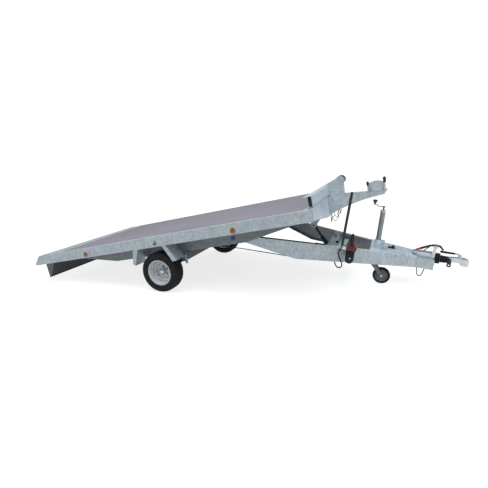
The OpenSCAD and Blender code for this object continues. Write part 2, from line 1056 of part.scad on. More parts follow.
// The hose loops from the pump under the arm to the foot of the ram.
// It is swept along these points, one ring of corners at each.
hose_end_u = 1128;
hose_end_y = 86;
hose_end_w = -225;
hose_sides = 8;
hose_route = [[gland_u, gland_y, gland_w], [1258, -405, -22], [1234, -408, -36],
    [1214, -414, -62], [1208, -421, -96], [1222, -424, -132], [1242, -422, -172],
    [1260, -418, -212], [1266, -410, -250], [1248, -398, -280], [1216, -378, -284],
    [1186, -348, -264], [1164, -308, -246], [1150, -262, -238], [1140, -214, -233],
    [1133, -164, -229], [1129, -116, -226], [hose_end_u, -hose_end_y, hose_end_w]];
hose_last = len(hose_route) - 1;
function unit(v) = v / norm(v);
function hose_way(i) = i == 0 ? [-1, 0, 0]
    : i == hose_last ? [0, 1, 0]
    : unit(hose_route[i + 1] - hose_route[i - 1]);
// A ring's own axes lie square to the way the hose runs.
function hose_side(i) = unit(cross(hose_way(i), [0.6, 0.3, 0.75]));
function hose_rise(i) = cross(hose_side(i), hose_way(i));
function hose_corner(i, k) = hose_route[i]
    + hose_r * cos(k * 360 / hose_sides) * hose_side(i)
    + hose_r * sin(k * 360 / hose_sides) * hose_rise(i);
module hydraulic_hose() {
    n = hose_sides;
    color(dark)
        on_drawbar()
            polyhedron(
                points = [for (i = [0 : hose_last], k = [0 : n - 1]) hose_corner(i, k)],
                faces = concat([[for (k = [0 : n - 1]) k]],
                    [for (i = [0 : hose_last - 1], k = [0 : n - 1])
                        [i * n + k, (i + 1) * n + k, (i + 1) * n + (k + 1) % n]],
                    [for (i = [0 : hose_last - 1], k = [0 : n - 1])
                        [i * n + k, (i + 1) * n + (k + 1) % n, i * n + (k + 1) % n]],
                    [[for (k = [n - 1 : -1 : 0]) hose_last * n + k]]));
}

module pump_lever() {
    y = pump_y - 66;
    color(dark)
        on_drawbar()
            difference() {
                union() {
                    rod_y(lever_pu, lever_pw, 17, y - 16, y + 16);
                    translate([lever_pu, y, lever_pw])
                        rotate([0, 2.4, 0]) {
                            cylinder(r = 13, h = 645);
                            translate([0, 0, 505])
                                cylinder(r = 15, h = 145);
                        }
                }
                rod_y(lever_pu, lever_pw, 7.05, y - 17, y + 17);
            }
}

// Jockey wheel

wheel_w = (jockey_r - pivot_wz + (jockey_u + jockey_trail) * sin(bar_pitch)) / cos(bar_pitch);
crown_w = -250;
module jockey_inner_tube() {
    color(silver)
        on_drawbar()
            translate([jockey_u, jockey_y, 0]) {
                translate([0, 0, crown_w])
                    cylinder(r = 25.5, h = 300);
                translate([-32, -34, crown_w - 5])
                    cube([72, 68, 5]);
                for (side = [-1, 1])
                    along_y(side * 32.5 - 1.5, side * 32.5 + 1.5) {
                        polygon([[-32, crown_w], [40, crown_w], [jockey_trail + 16, wheel_w + 8],
                            [jockey_trail - 16, wheel_w - 10]]);
                        translate([jockey_trail, wheel_w])
                            circle(r = 18);
                    }
                rod_y(jockey_trail, wheel_w, 8, -36, 36);
            }
}

module jockey_crank() {
    color(silver)
        on_drawbar()
            translate([jockey_u, jockey_y, 0]) {
                translate([0, 0, 400])
                    cylinder(r = 10, h = 78);
                translate([0, 0, 478])
                    cylinder(r = 14, h = 12);
                along_y(-9, 9)
                    polygon([[10, 480], [10, 488], [-60, 488], [-82, 504], [-118, 504],
                        [-118, 496], [-86, 496], [-64, 480]]);
                translate([-108, 0, 500])
                    cylinder(r = 6, h = 12);
                translate([-108, 0, 510])
                    cylinder(r1 = 10, r2 = 27, h = 34);
                translate([-108, 0, 544])
                    cylinder(r1 = 27, r2 = 18, h = 14);
            }
}

module jockey_wheel() {
    color(tyre_black)
        on_drawbar()
            translate([jockey_u + jockey_trail, jockey_y, wheel_w])
                rotate([90, 0, 0])
                    rotate_extrude()
                        polygon([[8.05, -24], [20, -24], [20, -10], [62, -10], [62, -22],
                            [80, -25], [96, -22], [jockey_r, -12], [jockey_r, 12],
                            [96, 22], [80, 25], [62, 22], [62, 10], [20, 10], [20, 24],
                            [8.05, 24]]);
}

floor_board();
side_rail_right();
side_rail_left();
main_beam_right();
main_beam_left();
cross_members();
rear_plate();
rear_panel();
tail_lamps();
front_crossbeam();
front_stop();
boom();
winch_bracket();
rubber_caps();
mudguards();
axle_tube();
ram_bracket();
pivot_fittings();
side_reflectors();
swing_arm_right();
swing_arm_left();
wheel_hub_right();
wheel_hub_left();
rim_right();
rim_left();
tyre_right();
tyre_left();
drawbar_arm_right();
drawbar_arm_left();
drawbar_nose();
drawbar_crossmember();
jockey_plate();
jockey_outer_tube();
safety_loop();
coupling_head();
bellows();
coupling_handle();
handbrake_lever();
pump();
pump_lever();
hydraulic_hose();
ram_barrel();
ram_rod();
jockey_inner_tube();
jockey_crank();
jockey_wheel();
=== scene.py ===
"""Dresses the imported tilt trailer: finishes, wheels, fittings, stage and camera."""
import json
from math import atan2, copysign, cos, hypot, pi, radians, sin, tau

import bmesh
import bpy
from mathutils import Matrix, Vector


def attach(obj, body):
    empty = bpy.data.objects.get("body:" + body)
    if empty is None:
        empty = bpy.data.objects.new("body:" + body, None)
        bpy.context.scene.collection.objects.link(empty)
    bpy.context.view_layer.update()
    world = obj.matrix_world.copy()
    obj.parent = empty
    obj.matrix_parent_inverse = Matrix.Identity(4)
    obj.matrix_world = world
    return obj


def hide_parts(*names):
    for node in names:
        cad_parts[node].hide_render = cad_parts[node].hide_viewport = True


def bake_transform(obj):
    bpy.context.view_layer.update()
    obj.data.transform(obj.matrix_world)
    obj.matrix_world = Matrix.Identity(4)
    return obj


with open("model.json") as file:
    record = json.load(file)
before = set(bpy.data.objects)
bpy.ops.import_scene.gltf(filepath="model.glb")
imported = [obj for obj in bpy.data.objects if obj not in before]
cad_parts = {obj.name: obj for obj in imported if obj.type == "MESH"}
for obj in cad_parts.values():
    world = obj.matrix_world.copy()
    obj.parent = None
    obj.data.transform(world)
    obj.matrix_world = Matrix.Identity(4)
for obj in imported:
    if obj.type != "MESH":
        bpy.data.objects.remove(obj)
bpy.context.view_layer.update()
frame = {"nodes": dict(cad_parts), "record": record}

bl_info = {
    "name": "Tilt trailer",
    "version": (1, 0, 0),
    "blender": (4, 5, 0),
    "location": "View3D > Sidebar > Trailer",
    "description": "Finishes and fittings of a flat deck tilt trailer",
    "category": "Object",
}

NODES = frame["nodes"]

# The two frames that the trailer is drawn in, in millimetres as in its source.
DECK_TILT = radians(9.8)
BAR_PITCH = radians(7.5)
WHEEL_R = 262.5
HALF_WIDTH = 1066
PIVOT_S, PIVOT_Z = 1035, 528
LIP_S, LIP_Z = -2150, 624
HEAD_U, HEAD_W = 2662, 26
BOOM_S, BOOM_Z = 2675, 707.9
BOOM_LEAN = radians(3.618)
RAM_PIN_S, RAM_PIN_Z = 1840, 400
MM = 0.001
OUT, IN, UP, DOWN, AHEAD = (0, -1, 0), (0, 1, 0), (0, 0, 1), (0, 0, -1), (1, 0, 0)


def at(x, y, z):
    """A shift."""
    return Matrix.Translation((x, y, z))


def turn(angle, axis="Y"):
    """A turn about one of the axes."""
    return Matrix.Rotation(angle, 4, axis)


def tilted(s, z):
    """Where a point of the level deck goes when the deck is tilted."""
    c, k = cos(DECK_TILT), sin(DECK_TILT)
    return s * c - (z - WHEEL_R) * k, s * k + (z - WHEEL_R) * c + WHEEL_R


PIVOT = tilted(PIVOT_S, PIVOT_Z)
HEAD_X = PIVOT[0] + HEAD_U * cos(BAR_PITCH) - HEAD_W * sin(BAR_PITCH)
SHIFT = (tilted(LIP_S, LIP_Z)[0] + HEAD_X) / 2
SCALE = Matrix.Scale(MM, 4)
DECK = SCALE @ at(-SHIFT, 0, WHEEL_R) @ turn(-DECK_TILT) @ at(0, 0, -WHEEL_R)
BAR = SCALE @ at(PIVOT[0] - SHIFT, 0, PIVOT[1]) @ turn(BAR_PITCH)
BOOM = DECK @ at(BOOM_S, 0, BOOM_Z) @ turn(BOOM_LEAN)
FLIP = Matrix.Scale(-1, 4, IN)
RAM_FOOT = (BAR @ Vector((1090, 0, -220))) / MM
RAM_TOP = (DECK @ Vector((RAM_PIN_S, 0, RAM_PIN_Z))) / MM
RAM = SCALE @ at(*RAM_FOOT) @ turn(atan2(RAM_TOP.x - RAM_FOOT.x, RAM_TOP.z - RAM_FOOT.z))


def arm_top(u):
    """Height of an arm's upper face in the drawbar's frame."""
    return 22 - 0.035 * u


def arm_face(u):
    """Distance of an arm's outer face from the middle."""
    return 760 - 0.3 * u


# Finishes

class Recipe:
    """A material's node tree, with short ways to add what the finishes share."""

    def __init__(self, name):
        self.material = bpy.data.materials.new(name)
        self.material.use_nodes = True
        self.tree = self.material.node_tree
        self.shader = self.tree.nodes["Principled BSDF"]
        self.place = self.add("ShaderNodeTexCoord").outputs["Object"]

    def add(self, kind, **settings):
        node = self.tree.nodes.new(kind)
        for key, value in settings.items():
            if key in node.inputs:
                node.inputs[key].default_value = value
            else:
                setattr(node, key.lower(), value)
        return node

    def link(self, source, target):
        self.tree.links.new(source, target)

    def stretched(self, scale):
        node = self.add("ShaderNodeMapping", Scale=scale)
        self.link(self.place, node.inputs["Vector"])
        return node.outputs["Vector"]

    def noise(self, scale, detail=3, roughness=0.55, vector=None):
        node = self.add("ShaderNodeTexNoise", Scale=scale, Detail=detail, Roughness=roughness)
        self.link(vector or self.place, node.inputs["Vector"])
        return node.outputs["Fac"]

    def cells(self, scale, feature="F1"):
        node = self.add("ShaderNodeTexVoronoi", Scale=scale, feature=feature)
        self.link(self.place, node.inputs["Vector"])
        return node

    def ramp(self, source, stops):
        node = self.add("ShaderNodeValToRGB")
        elements = node.color_ramp.elements
        while len(elements) < len(stops):
            elements.new(0.5)
        for element, (at, colour) in zip(elements, stops):
            element.position = at
            element.color = (*colour, 1) if len(colour) == 3 else colour
        self.link(source, node.inputs["Fac"])
        return node.outputs["Color"]

    def blend(self, amount, first, second, kind="MIX"):
        node = self.add("ShaderNodeMix", data_type="RGBA", blend_type=kind)
        for socket, value in ((0, amount), (6, first), (7, second)):
            if isinstance(value, bpy.types.NodeSocket):
                self.link(value, node.inputs[socket])
            elif socket == 0:
                node.inputs[0].default_value = value
            else:
                node.inputs[socket].default_value = (*value, 1)
        return node.outputs[2]

    def tinted(self, tone, amount, source, stops):
        """The tone multiplied, by some amount, by a ramp over the source."""
        return self.blend(amount, tone, self.ramp(source, stops), "MULTIPLY")

    def clouded(self, source, colour, low, high):
        """A colour that goes from a darker to a lighter shade over the source."""
        return self.ramp(source, [(0.3, shade(colour, low)), (0.7, shade(colour, high))])

    def spread(self, source, low, high):
        node = self.add("ShaderNodeMapRange", **{"To Min": low, "To Max": high})
        self.link(source, node.inputs["Value"])
        return node.outputs["Result"]

    def sums(self, kind, first, second):
        node = self.add("ShaderNodeMath", operation=kind)
        self.link(first, node.inputs[0])
        self.link(second, node.inputs[1])
        return node.outputs[0]

    def bump(self, source, strength, distance=0.001):
        node = self.add("ShaderNodeBump", Strength=strength, Distance=distance)
        self.link(source, node.inputs["Height"])
        self.link(node.outputs["Normal"], self.shader.inputs["Normal"])

    def set(self, **values):
        for key, value in values.items():
            socket = self.shader.inputs[key.replace("_", " ").title().replace("Ior", "IOR")]
            if isinstance(value, bpy.types.NodeSocket):
                self.link(value, socket)
            else:
                socket.default_value = (*value, 1) if isinstance(value, tuple) else value
        return self.material


def shade(colour, factor):
    return tuple(min(1.0, c * factor) for c in colour)


def galvanised(name, colour, mottle, metallic, wear):
    """Hot dip galvanised steel: crystal spangle, cloudy patches and faint runs."""
    r = Recipe(name)
    crystals = r.cells(95)
    cloud = r.noise(9, 4)
    drift = r.noise(3.4, 3)
    streak = r.noise(5, 3, vector=r.stretched((1.2, 1.2, 9)))
    tone = r.ramp(cloud, [(0.3, shade(colour, 1 - mottle)), (0.5, colour),
                          (0.72, shade(colour, 1 + mottle))])
    tone = r.tinted(tone, 0.8, r.noise(30, 3), [(0.36, (0.84, 0.85, 0.86)), (0.5, (1, 1, 1)),
                                                (0.62, (1.12, 1.12, 1.12))])
    tone = r.tinted(tone, 0.8, drift, [(0.34, (0.9, 0.97, 1.02)), (0.5, (1, 1, 1)),
                                       (0.64, (0.99, 1.03, 0.96))])
    tone = r.tinted(tone, 0.55, crystals.outputs["Color"], [(0, (0.78, 0.79, 0.8)),
                                                            (1, (1.2, 1.2, 1.2))])
    tone = r.tinted(tone, 0.7, streak, [(0.42, (1, 1, 1)), (0.75, wear)])
    grain = r.noise(160, 2)
    r.bump(r.blend(0.6, crystals.outputs["Distance"], grain), 0.12, 0.0006)
    return r.set(base_color=tone, metallic=metallic, roughness=r.spread(cloud, 0.38, 0.6))


def deck_board(name, colour):
    """Film faced plywood with the fine mesh that is pressed into its upper face."""
    r = Recipe(name)
    cloud = r.noise(3.2, 5, 0.6, vector=r.stretched((0.5, 1.6, 1)))
    scuff = r.noise(26, 4, 0.7, vector=r.stretched((0.25, 2.4, 1)))
    mesh = r.cells(210, feature="DISTANCE_TO_EDGE")
    tone = r.ramp(cloud, [(0.3, shade(colour, 0.86)), (0.55, colour), (0.75, shade(colour, 1.14))])
    tone = r.tinted(tone, 0.6, scuff, [(0.5, (1, 1, 1)), (0.78, (1.25, 1.2, 1.16))])
    r.bump(mesh.outputs["Distance"], 0.35, 0.0008)
    return r.set(base_color=tone, roughness=r.spread(scuff, 0.42, 0.62))


def rubber(name, colour, dust):
    """Moulded rubber with a fine grain and a little dust."""
    r = Recipe(name)
    grain = r.noise(420, 2)
    cloud = r.noise(14, 4)
    tone = r.ramp(cloud, [(0.35, colour), (0.8, dust)])
    r.bump(grain, 0.2, 0.0005)
    return r.set(base_color=tone, roughness=r.spread(cloud, 0.62, 0.82), specular_ior_level=0.25)


def paint(name, colour, rough, chips=(0.3, 0.3, 0.31), coat=0.0, gloss=0.5):
    """Sprayed paint with slight orange peel and small chips."""
    r = Recipe(name)
    peel = r.noise(340, 2)
    cloud = r.noise(22, 3)
    chip = r.noise(120, 5, 0.75)
    tone = r.clouded(cloud, colour, 0.88, 1.1)
    mask = r.ramp(chip, [(0.70, (0, 0, 0)), (0.73, (1, 1, 1))])
    tone = r.blend(mask, tone, chips)
    r.bump(peel, 0.1, 0.0004)
    return r.set(base_color=tone, roughness=r.spread(cloud, rough - 0.06, rough + 0.08),
                 coat_weight=coat, specular_ior_level=gloss)


def zinc(name, colour, rough, metallic=0.85):
    """Bright zinc plate with a fine brushed grain and dull patches."""
    r = Recipe(name)
    brush = r.noise(90, 3, vector=r.stretched((1, 1, 7)))
    cloud = r.noise(16, 4)
    tone = r.tinted(r.clouded(cloud, colour, 0.84, 1.06), 0.35, brush,
                    [(0.35, (0.8, 0.8, 0.8)), (0.7, (1.1, 1.1, 1.1))])
    r.bump(brush, 0.06, 0.0003)
    return r.set(base_color=tone, metallic=metallic,
                 roughness=r.spread(cloud, rough - 0.07, rough + 0.1))


def lens(name, colour):
    """Moulded plastic lens with its grid of small prisms."""
    r = Recipe(name)
    prism = r.cells(260)
    tone = r.ramp(prism.outputs["Distance"], [(0, shade(colour, 1.25)), (0.7, shade(colour, 0.6))])
    r.bump(prism.outputs["Distance"], 0.5, 0.0012)
    return r.set(base_color=tone, roughness=0.16, coat_weight=0.5, specular_ior_level=0.6)


def plastic(name, colour, rough):
    """Moulded plastic with a fine spark eroded grain."""
    r = Recipe(name)
    grain = r.noise(600, 2)
    cloud = r.noise(30, 3)
    tone = r.clouded(cloud, colour, 0.85, 1.2)
    r.bump(grain, 0.12, 0.0003)
    return r.set(base_color=tone, roughness=r.spread(cloud, rough - 0.05, rough + 0.08))


WARM = (0.93, 0.91, 0.87)
COOL = (0.9, 0.92, 0.93)

# Each finish: its maker and what that is given. A setting's name with a factor is a colour.
LOOKS = {
    "galvanised": (galvanised, ("galvanised", 1), 0.12, 0.35, COOL),
    # Painted light: a lighter copy of the galvanised steel for the plates whose tops and fronts
    # face the lamps.
    "galvanised_bright": (galvanised, ("galvanised_top", 1), 0.12, 0.3, COOL),
    # Painted highlight: a still lighter copy for the folds along the top edges.
    "galvanised_edge": (galvanised, ("galvanised_top", 1.18), 0.06, 0.3, COOL),
    # Painted shade: a darker copy for the beams, cross members and the rod's bracket under the
    # deck.
    "galvanised_web": (galvanised, ("galvanised", 0.4), 0.16, 0.35, WARM),
    # Painted shade: a less dark copy for the far drawbar arm, seen from its shaded inner side.
    "galvanised_inner": (galvanised, ("galvanised", 0.6), 0.16, 0.3, WARM),
    # Painted shade: the darkest copy, for the rear panel's inside, the axle, the swing arms and
    # the strip in the gap under the front stop.
    "galvanised_dull": (galvanised, ("galvanised", 0.22), 0.16, 0.2, WARM),
    "weld": (galvanised, ("galvanised", 0.82), 0.08, 0.4, COOL),
    "bright_zinc": (zinc, ("zinc", 1), 0.34),
    "dull_zinc": (zinc, ("zinc", 0.42), 0.42),
    "worn_zinc": (zinc, ("zinc", 0.26), 0.46),
    "pin_brown": (zinc, (0.13, 0.105, 0.085), 0.42, 0.6),
    "board": (deck_board, ("board", 1)),
    "wheel_silver": (paint, ("wheel", 1), 0.34, (0.45, 0.45, 0.46), 0.3),
    "black_paint": (paint, (0.009, 0.0095, 0.011), 0.42, (0.12, 0.12, 0.12), 0.0, 0.3),
    "rod_steel": (paint, (0.009, 0.01, 0.014), 0.36, (0.1, 0.1, 0.11), 0.0, 0.3),
    "valve_red": (paint, (0.16, 0.03, 0.03), 0.4),
    "blue_paint": (paint, (0.08, 0.16, 0.42), 0.4),
    "tyre": (rubber, ("tyre", 1), ("tyre", 1.7)),
    "jockey_tyre": (rubber, ("tyre", 0.9), ("tyre", 1.8)),
    "bellows_rubber": (rubber, (0.022, 0.023, 0.03), (0.04, 0.042, 0.05)),
    "hose_rubber": (rubber, (0.016, 0.016, 0.018), (0.035, 0.035, 0.037)),
    "black_plastic": (plastic, (0.011, 0.011, 0.013), 0.5),
    "red_plastic": (plastic, (0.55, 0.03, 0.025), 0.36),
    "wheel_blue": (plastic, (0.24, 0.29, 0.31), 0.3),
    "cable_black": (plastic, (0.015, 0.015, 0.017), 0.5),
    "orange_lens": (lens, (0.55, 0.16, 0.02)),
    "red_lens": (lens, (0.5, 0.015, 0.015)),
}


def finish(look):
    """One of the trailer's finishes, made the first time that it is asked for."""
    name = "trailer_" + look
    if name in bpy.data.materials:
        return bpy.data.materials[name]
    settings = bpy.context.scene.trailer_finish
    maker, *given = LOOKS[look]
    return maker(name, *(shade(getattr(settings, value[0]), value[1])
                         if isinstance(value, tuple) and isinstance(value[0], str) else value
                         for value in given))


# Mesh helpers. Each adds to a bmesh in millimetres and returns the new vertices.

def moved(bm, verts, matrix):
    bmesh.ops.transform(bm, matrix=matrix, verts=verts)
    return verts


def faces_of(verts):
    return list(dict.fromkeys(face for vert in verts for face in vert.link_faces))


def outwards(bm, verts):
    """Turns the faces of these vertices outwards."""
    bmesh.ops.recalc_face_normals(bm, faces=faces_of(verts))
    return verts


def merged(bm, verts, gap=0.001):
    bmesh.ops.remove_doubles(bm, verts=verts, dist=gap)
    return outwards(bm, [v for v in verts if v.is_valid])


def standing(foot, axis):
    """The place of a piece that stands at foot, with its Z along axis."""
    return at(*foot) @ Vector(axis).to_track_quat("Z", "Y").to_matrix().to_4x4()


def softened(bm, verts, width, segments=2):
    """Bevels the sharp edges between these vertices."""
    chosen = set(verts)
    edges = [e for e in bm.edges if e.verts[0] in chosen and e.verts[1] in chosen
             and len(e.link_faces) == 2 and e.calc_face_angle(0) > 0.6]
    made = bmesh.ops.bevel(bm, geom=edges, offset=width, segments=segments, profile=0.5,
                           affect="EDGES", material=-1, clamp_overlap=True)
    return list({*made["verts"], *(v for v in verts if v.is_valid)})


def block(bm, low, high, bevel=0.0):
    """A box between two corners."""
    low, high = Vector(low), Vector(high)
    verts = bmesh.ops.create_cube(bm, size=1)["verts"]
    moved(bm, verts, at(*(low + high) / 2) @ Matrix.Diagonal((*(high - low), 1)))
    return softened(bm, verts, bevel) if bevel else verts


def round_bar(bm, foot, axis, radius, length, segments=32, top=None, bevel=0.0):
    """A round bar or cone that starts at foot and runs along axis."""
    verts = bmesh.ops.create_cone(bm, cap_ends=True, segments=segments, radius1=radius,
                                  radius2=radius if top is None else top, depth=length)["verts"]
    moved(bm, verts, standing(foot, axis) @ at(0, 0, length / 2))
    return softened(bm, verts, bevel) if bevel else verts


def spun(bm, verts, others, angle, steps, gap, foot, axis):
    """Spins a section about Z, closes the skin and stands it in its place."""
    bmesh.ops.spin(bm, geom=verts + others, cent=(0, 0, 0), axis=UP, angle=angle, steps=steps,
                   use_merge=angle >= tau)
    found, queue = dict.fromkeys(verts), list(verts)
    while queue:
        vert = queue.pop()
        for edge in vert.link_edges:
            other = edge.other_vert(vert)
            if other not in found:
                found[other] = True
                queue.append(other)
    return moved(bm, merged(bm, list(found), gap), standing(foot, axis))


def turned(bm, outline, foot, axis, steps=48):
    """A piece turned on a lathe: outline is (radius, height) from the bottom up."""
    verts = [bm.verts.new((radius, 0, height)) for radius, height in outline]
    edges = [bm.edges.new(ends) for ends in zip(verts, verts[1:])]
    return spun(bm, verts, edges, tau, steps, 0.01, foot, axis)


def plate(bm, outline, start, depth, matrix=None, bevel=0.0):
    """An outline in X and Z drawn out along Y, from start by depth."""
    verts = [bm.verts.new((x, start, z)) for x, z in outline]
    face = bm.faces.new(verts)
    made = bmesh.ops.extrude_face_region(bm, geom=[face])
    far = [v for v in made["geom"] if isinstance(v, bmesh.types.BMVert)]
    bmesh.ops.translate(bm, verts=far, vec=(0, depth, 0))
    chosen = outwards(bm, verts + far)
    if matrix:
        moved(bm, chosen, matrix)
    return softened(bm, chosen, bevel) if bevel else chosen


def bolt(bm, foot, axis, size=8.0, washer=True):
    """A hexagon bolt head on its washer; foot is where it meets the metal."""
    if washer:
        round_bar(bm, foot, axis, size * 1.15, size * 0.18, 24)
    foot = Vector(foot) + Vector(axis).normalized() * size * 0.18
    head = round_bar(bm, foot, axis, size * 0.92, size * 0.62, 6)
    softened(bm, head, size * 0.08, 1)


def ring(bm, centre, axis, radius, wire, steps=36, segments=10):
    """A round wire bent into a ring."""
    verts = bmesh.ops.create_circle(bm, segments=segments, radius=wire)["verts"]
    moved(bm, verts, at(radius, 0, 0) @ turn(pi / 2, "X"))
    edges = list(dict.fromkeys(edge for vert in verts for edge in vert.link_edges))
    return spun(bm, verts, edges, tau, steps, 0.001, centre, axis)


def smooth_run(name, points, radius):
    """A round curve and its one spline, smooth through these points."""
    curve = bpy.data.curves.new(name, "CURVE")
    curve.dimensions = "3D"
    curve.bevel_depth = radius
    curve.bevel_resolution = 3
    curve.resolution_u = 6
    curve.use_fill_caps = True
    line = curve.splines.new("BEZIER")
    line.bezier_points.add(len(points) - 1)
    for spot, point in zip(line.bezier_points, points):
        spot.co = point
        spot.handle_left_type = spot.handle_right_type = "AUTO"
    return curve, line


def pipe(bm, points, radius):
    """A round pipe along a smooth line through these points."""
    curve = smooth_run("pipe", points, radius)[0]
    maker = bpy.data.objects.new("pipe", curve)
    mesh = bpy.data.meshes.new_from_object(maker)
    before = set(bm.verts)
    bm.from_mesh(mesh)
    bpy.data.objects.remove(maker)
    bpy.data.curves.remove(curve)
    bpy.data.meshes.remove(mesh)
    return merged(bm, [vert for vert in bm.verts if vert not in before])


def weld(bm, start, end, radius=3.0):
    """A rippled weld bead between two points."""
    start, end = Vector(start), Vector(end)
    long = (end - start).length
    steps = max(3, int(long / 8))
    outline = [(0, 0)]
    for i in range(steps):
        outline += [(radius, (i + 0.35) * long / steps),
                    (radius * 0.84, (i + 0.95) * long / steps)]
    turned(bm, outline + [(0, long)], start, end - start, 8)


def arc(centre, radius, start, end, steps):
    """Points of an arc in X and Z, from one angle to another in degrees."""
    turns = [radians(start + (end - start) * i / steps) for i in range(steps + 1)]
    return [(centre[0] + radius * cos(t), centre[1] + radius * sin(t)) for t in turns]


def linked(name, data):
    """An object in the scene."""
    obj = bpy.data.objects.new(name, data)
    bpy.context.scene.collection.objects.link(obj)
    return obj


def piece(name, build, body, look, place, slot=None, smooth=35):
    """Makes what a build function shapes an object that rides on a body."""
    bm = bmesh.new()
    build(bm)
    bmesh.ops.transform(bm, matrix=place, verts=bm.verts)
    if place.determinant() < 0:
        bmesh.ops.reverse_faces(bm, faces=bm.faces)
    mesh = bpy.data.meshes.new(name)
    bm.to_mesh(mesh)
    bm.free()
    for polygon in mesh.polygons:
        polygon.use_smooth = True
    mesh.set_sharp_from_angle(angle=radians(smooth))
    mesh.materials.append(finish(look))
    obj = linked(name, mesh)
    if body:
        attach(obj, body)
    return obj


def pair(name, build, body, look, place, slot=None, smooth=35):
    """The same piece on the right and, mirrored, on the left."""
    bodies = body if isinstance(body, tuple) else (body, body)
    return [piece(f"{name}_{side}", build, ridden, look, place @ flip, slot, smooth)
            for side, ridden, flip in zip(("right", "left"), bodies, (Matrix.Identity(4), FLIP))]


def fitted(body, place, *rows, twice=False):
    """Makes a piece, or a pair, of each row: build function, finish, slot, which is not used,
    replaced node.
    """
    for build, look, *more in rows:
        slot, node = (*more, None, None)[:2]
        given = (build.__name__, build, body, look, place, slot)
        made = pair(*given)[0] if twice else piece(*given)
        if node:
            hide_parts(node)


def dress(look, *names):
    """Gives CAD nodes a finish."""
    for name in names:
        node = NODES[name]
        node.data.materials.clear()
        node.data.materials.append(finish(look))


# Settings that a user would change.

def colour_setting(name, description, default):
    return bpy.props.FloatVectorProperty(name=name, description=description, default=default,
                                         subtype="COLOR", size=3, min=0, max=1)


class TrailerFinish(bpy.types.PropertyGroup):
    """Colours of the trailer's finishes."""

    galvanised: colour_setting(
        "Galvanised steel", "Colour of the hot dip galvanised steel", (0.58, 0.65, 0.7))
    # Painted light: this lighter tone paints the light on the tops and fronts of the front plates,
    # and, lighter still, the highlight along the folds.
    galvanised_top: colour_setting(
        "Galvanised plates", "Colour of the newer, brighter galvanised plates",
        (0.66, 0.755, 0.83))
    zinc: colour_setting(
        "Zinc plate", "Colour of the zinc plated fittings", (0.57, 0.63, 0.67))
    board: colour_setting(
        "Floor board", "Colour of the film faced floor board", (0.302, 0.29, 0.342))
    wheel: colour_setting(
        "Wheel rims", "Colour of the painted wheel rims", (0.86, 0.87, 0.91))
    tyre: colour_setting("Tyres", "Colour of the tyre rubber", (0.014, 0.0145, 0.017))


class TrailerStage(bpy.types.PropertyGroup):
    """Camera and light."""

    focal: bpy.props.FloatProperty(
        name="Lens", description="Focal length of the camera in millimetres",
        default=27.467, min=10, max=200)
    lamp: bpy.props.FloatProperty(
        name="Lamp", description="Power of the large lamp above the trailer",
        subtype="POWER", default=355, min=0, max=5000)


CAMERA_SPOT = (2.764 - SHIFT * MM, -4.845, 1.691)
CAMERA_TURNS = (22.426, 13.717, -3.426)


class TRAILER_OT_stage(bpy.types.Operator):
    """Set up the floor, the lamps and the camera"""
    bl_idname = "trailer.stage"
    bl_label = "Stage"

    def execute(self, context):
        settings = context.scene.trailer_stage
        scene = context.scene
        scene.view_settings.view_transform = "Standard"
        bm = bmesh.new()
        bmesh.ops.create_grid(bm, x_segments=1, y_segments=1, size=300)
        mesh = bpy.data.meshes.new("studio_floor")
        bm.to_mesh(mesh)
        bm.free()
        mesh.materials.append(floor_material())
        linked("studio_floor", mesh)

        world = bpy.data.worlds.new("studio_light")
        world.use_nodes = True
        scene.world = world
        nodes, links = world.node_tree.nodes, world.node_tree.links
        sky = nodes["Background"]
        white = nodes.new("ShaderNodeBackground")
        for shader, colour, strength in ((sky, (0.93, 0.96, 1, 1), 0.3), (white, (1, 1, 1, 1), 1)):
            shader.inputs["Color"].default_value = colour
            shader.inputs["Strength"].default_value = strength
        path = nodes.new("ShaderNodeLightPath")
        mix = nodes.new("ShaderNodeMixShader")
        for source, target in zip((path.outputs["Is Camera Ray"], sky.outputs[0],
                                   white.outputs[0]), mix.inputs):
            links.new(source, target)
        links.new(mix.outputs[0], nodes["World Output"].inputs["Surface"])

        for name, spot, aim, size, power in (
                ("lamp_above", (-0.8, -1.4, 6.8), (0, 0, 0.4), 6.0, settings.lamp),
                ("lamp_front", (8.5, -1.5, 3.4), (1.2, 0, 0.7), 4.0, settings.lamp * 0.5)):
            light = bpy.data.lights.new(name, "AREA")
            light.energy = power
            light.size = size
            lamp = linked(name, light)
            lamp.location = spot
            lamp.rotation_euler = (Vector(aim) - Vector(spot)).to_track_quat("-Z", "Y").to_euler()

        yaw, pitch, roll = (radians(angle) for angle in CAMERA_TURNS)
        back = Vector((sin(yaw) * cos(pitch), -cos(yaw) * cos(pitch), sin(pitch)))
        flat = Vector((cos(yaw), sin(yaw), 0))
        rise = flat.cross(-back)
        right = cos(roll) * flat + sin(roll) * rise
        up = -sin(roll) * flat + cos(roll) * rise
        data = bpy.data.cameras.new("photo_camera")
        data.sensor_width = 36
        data.lens = settings.focal
        camera = linked("photo_camera", data)
        camera.matrix_world = at(*CAMERA_SPOT) @ Matrix((right, up, back)).transposed().to_4x4()
        scene.camera = camera
        return {"FINISHED"}


def floor_material():
    """Pale floor that shows white to the camera and keeps the trailer's shadow."""
    r = Recipe("studio_floor")
    path = r.add("ShaderNodeLightPath").outputs
    clear = r.sums("MAXIMUM", path["Is Glossy Ray"], path["Is Transmission Ray"])
    seen = r.sums("MAXIMUM", path["Is Camera Ray"], clear)
    r.set(base_color=r.blend(seen, (0.36, 0.36, 0.36), (0.5, 0.5, 0.5)), roughness=0.9,
          specular_ior_level=0.1)
    r.shader.inputs["Emission Color"].default_value = (1, 1, 1, 1)
    near = r.add("ShaderNodeTexGradient", gradient_type="SPHERICAL")
    r.link(r.stretched((0.075, 0.075, 0.075)), near.inputs["Vector"])
    glow = r.sums("MULTIPLY", r.spread(near.outputs["Fac"], 1.0, 0.76), seen)
    r.link(glow, r.shader.inputs["Emission Strength"])
    return r.material


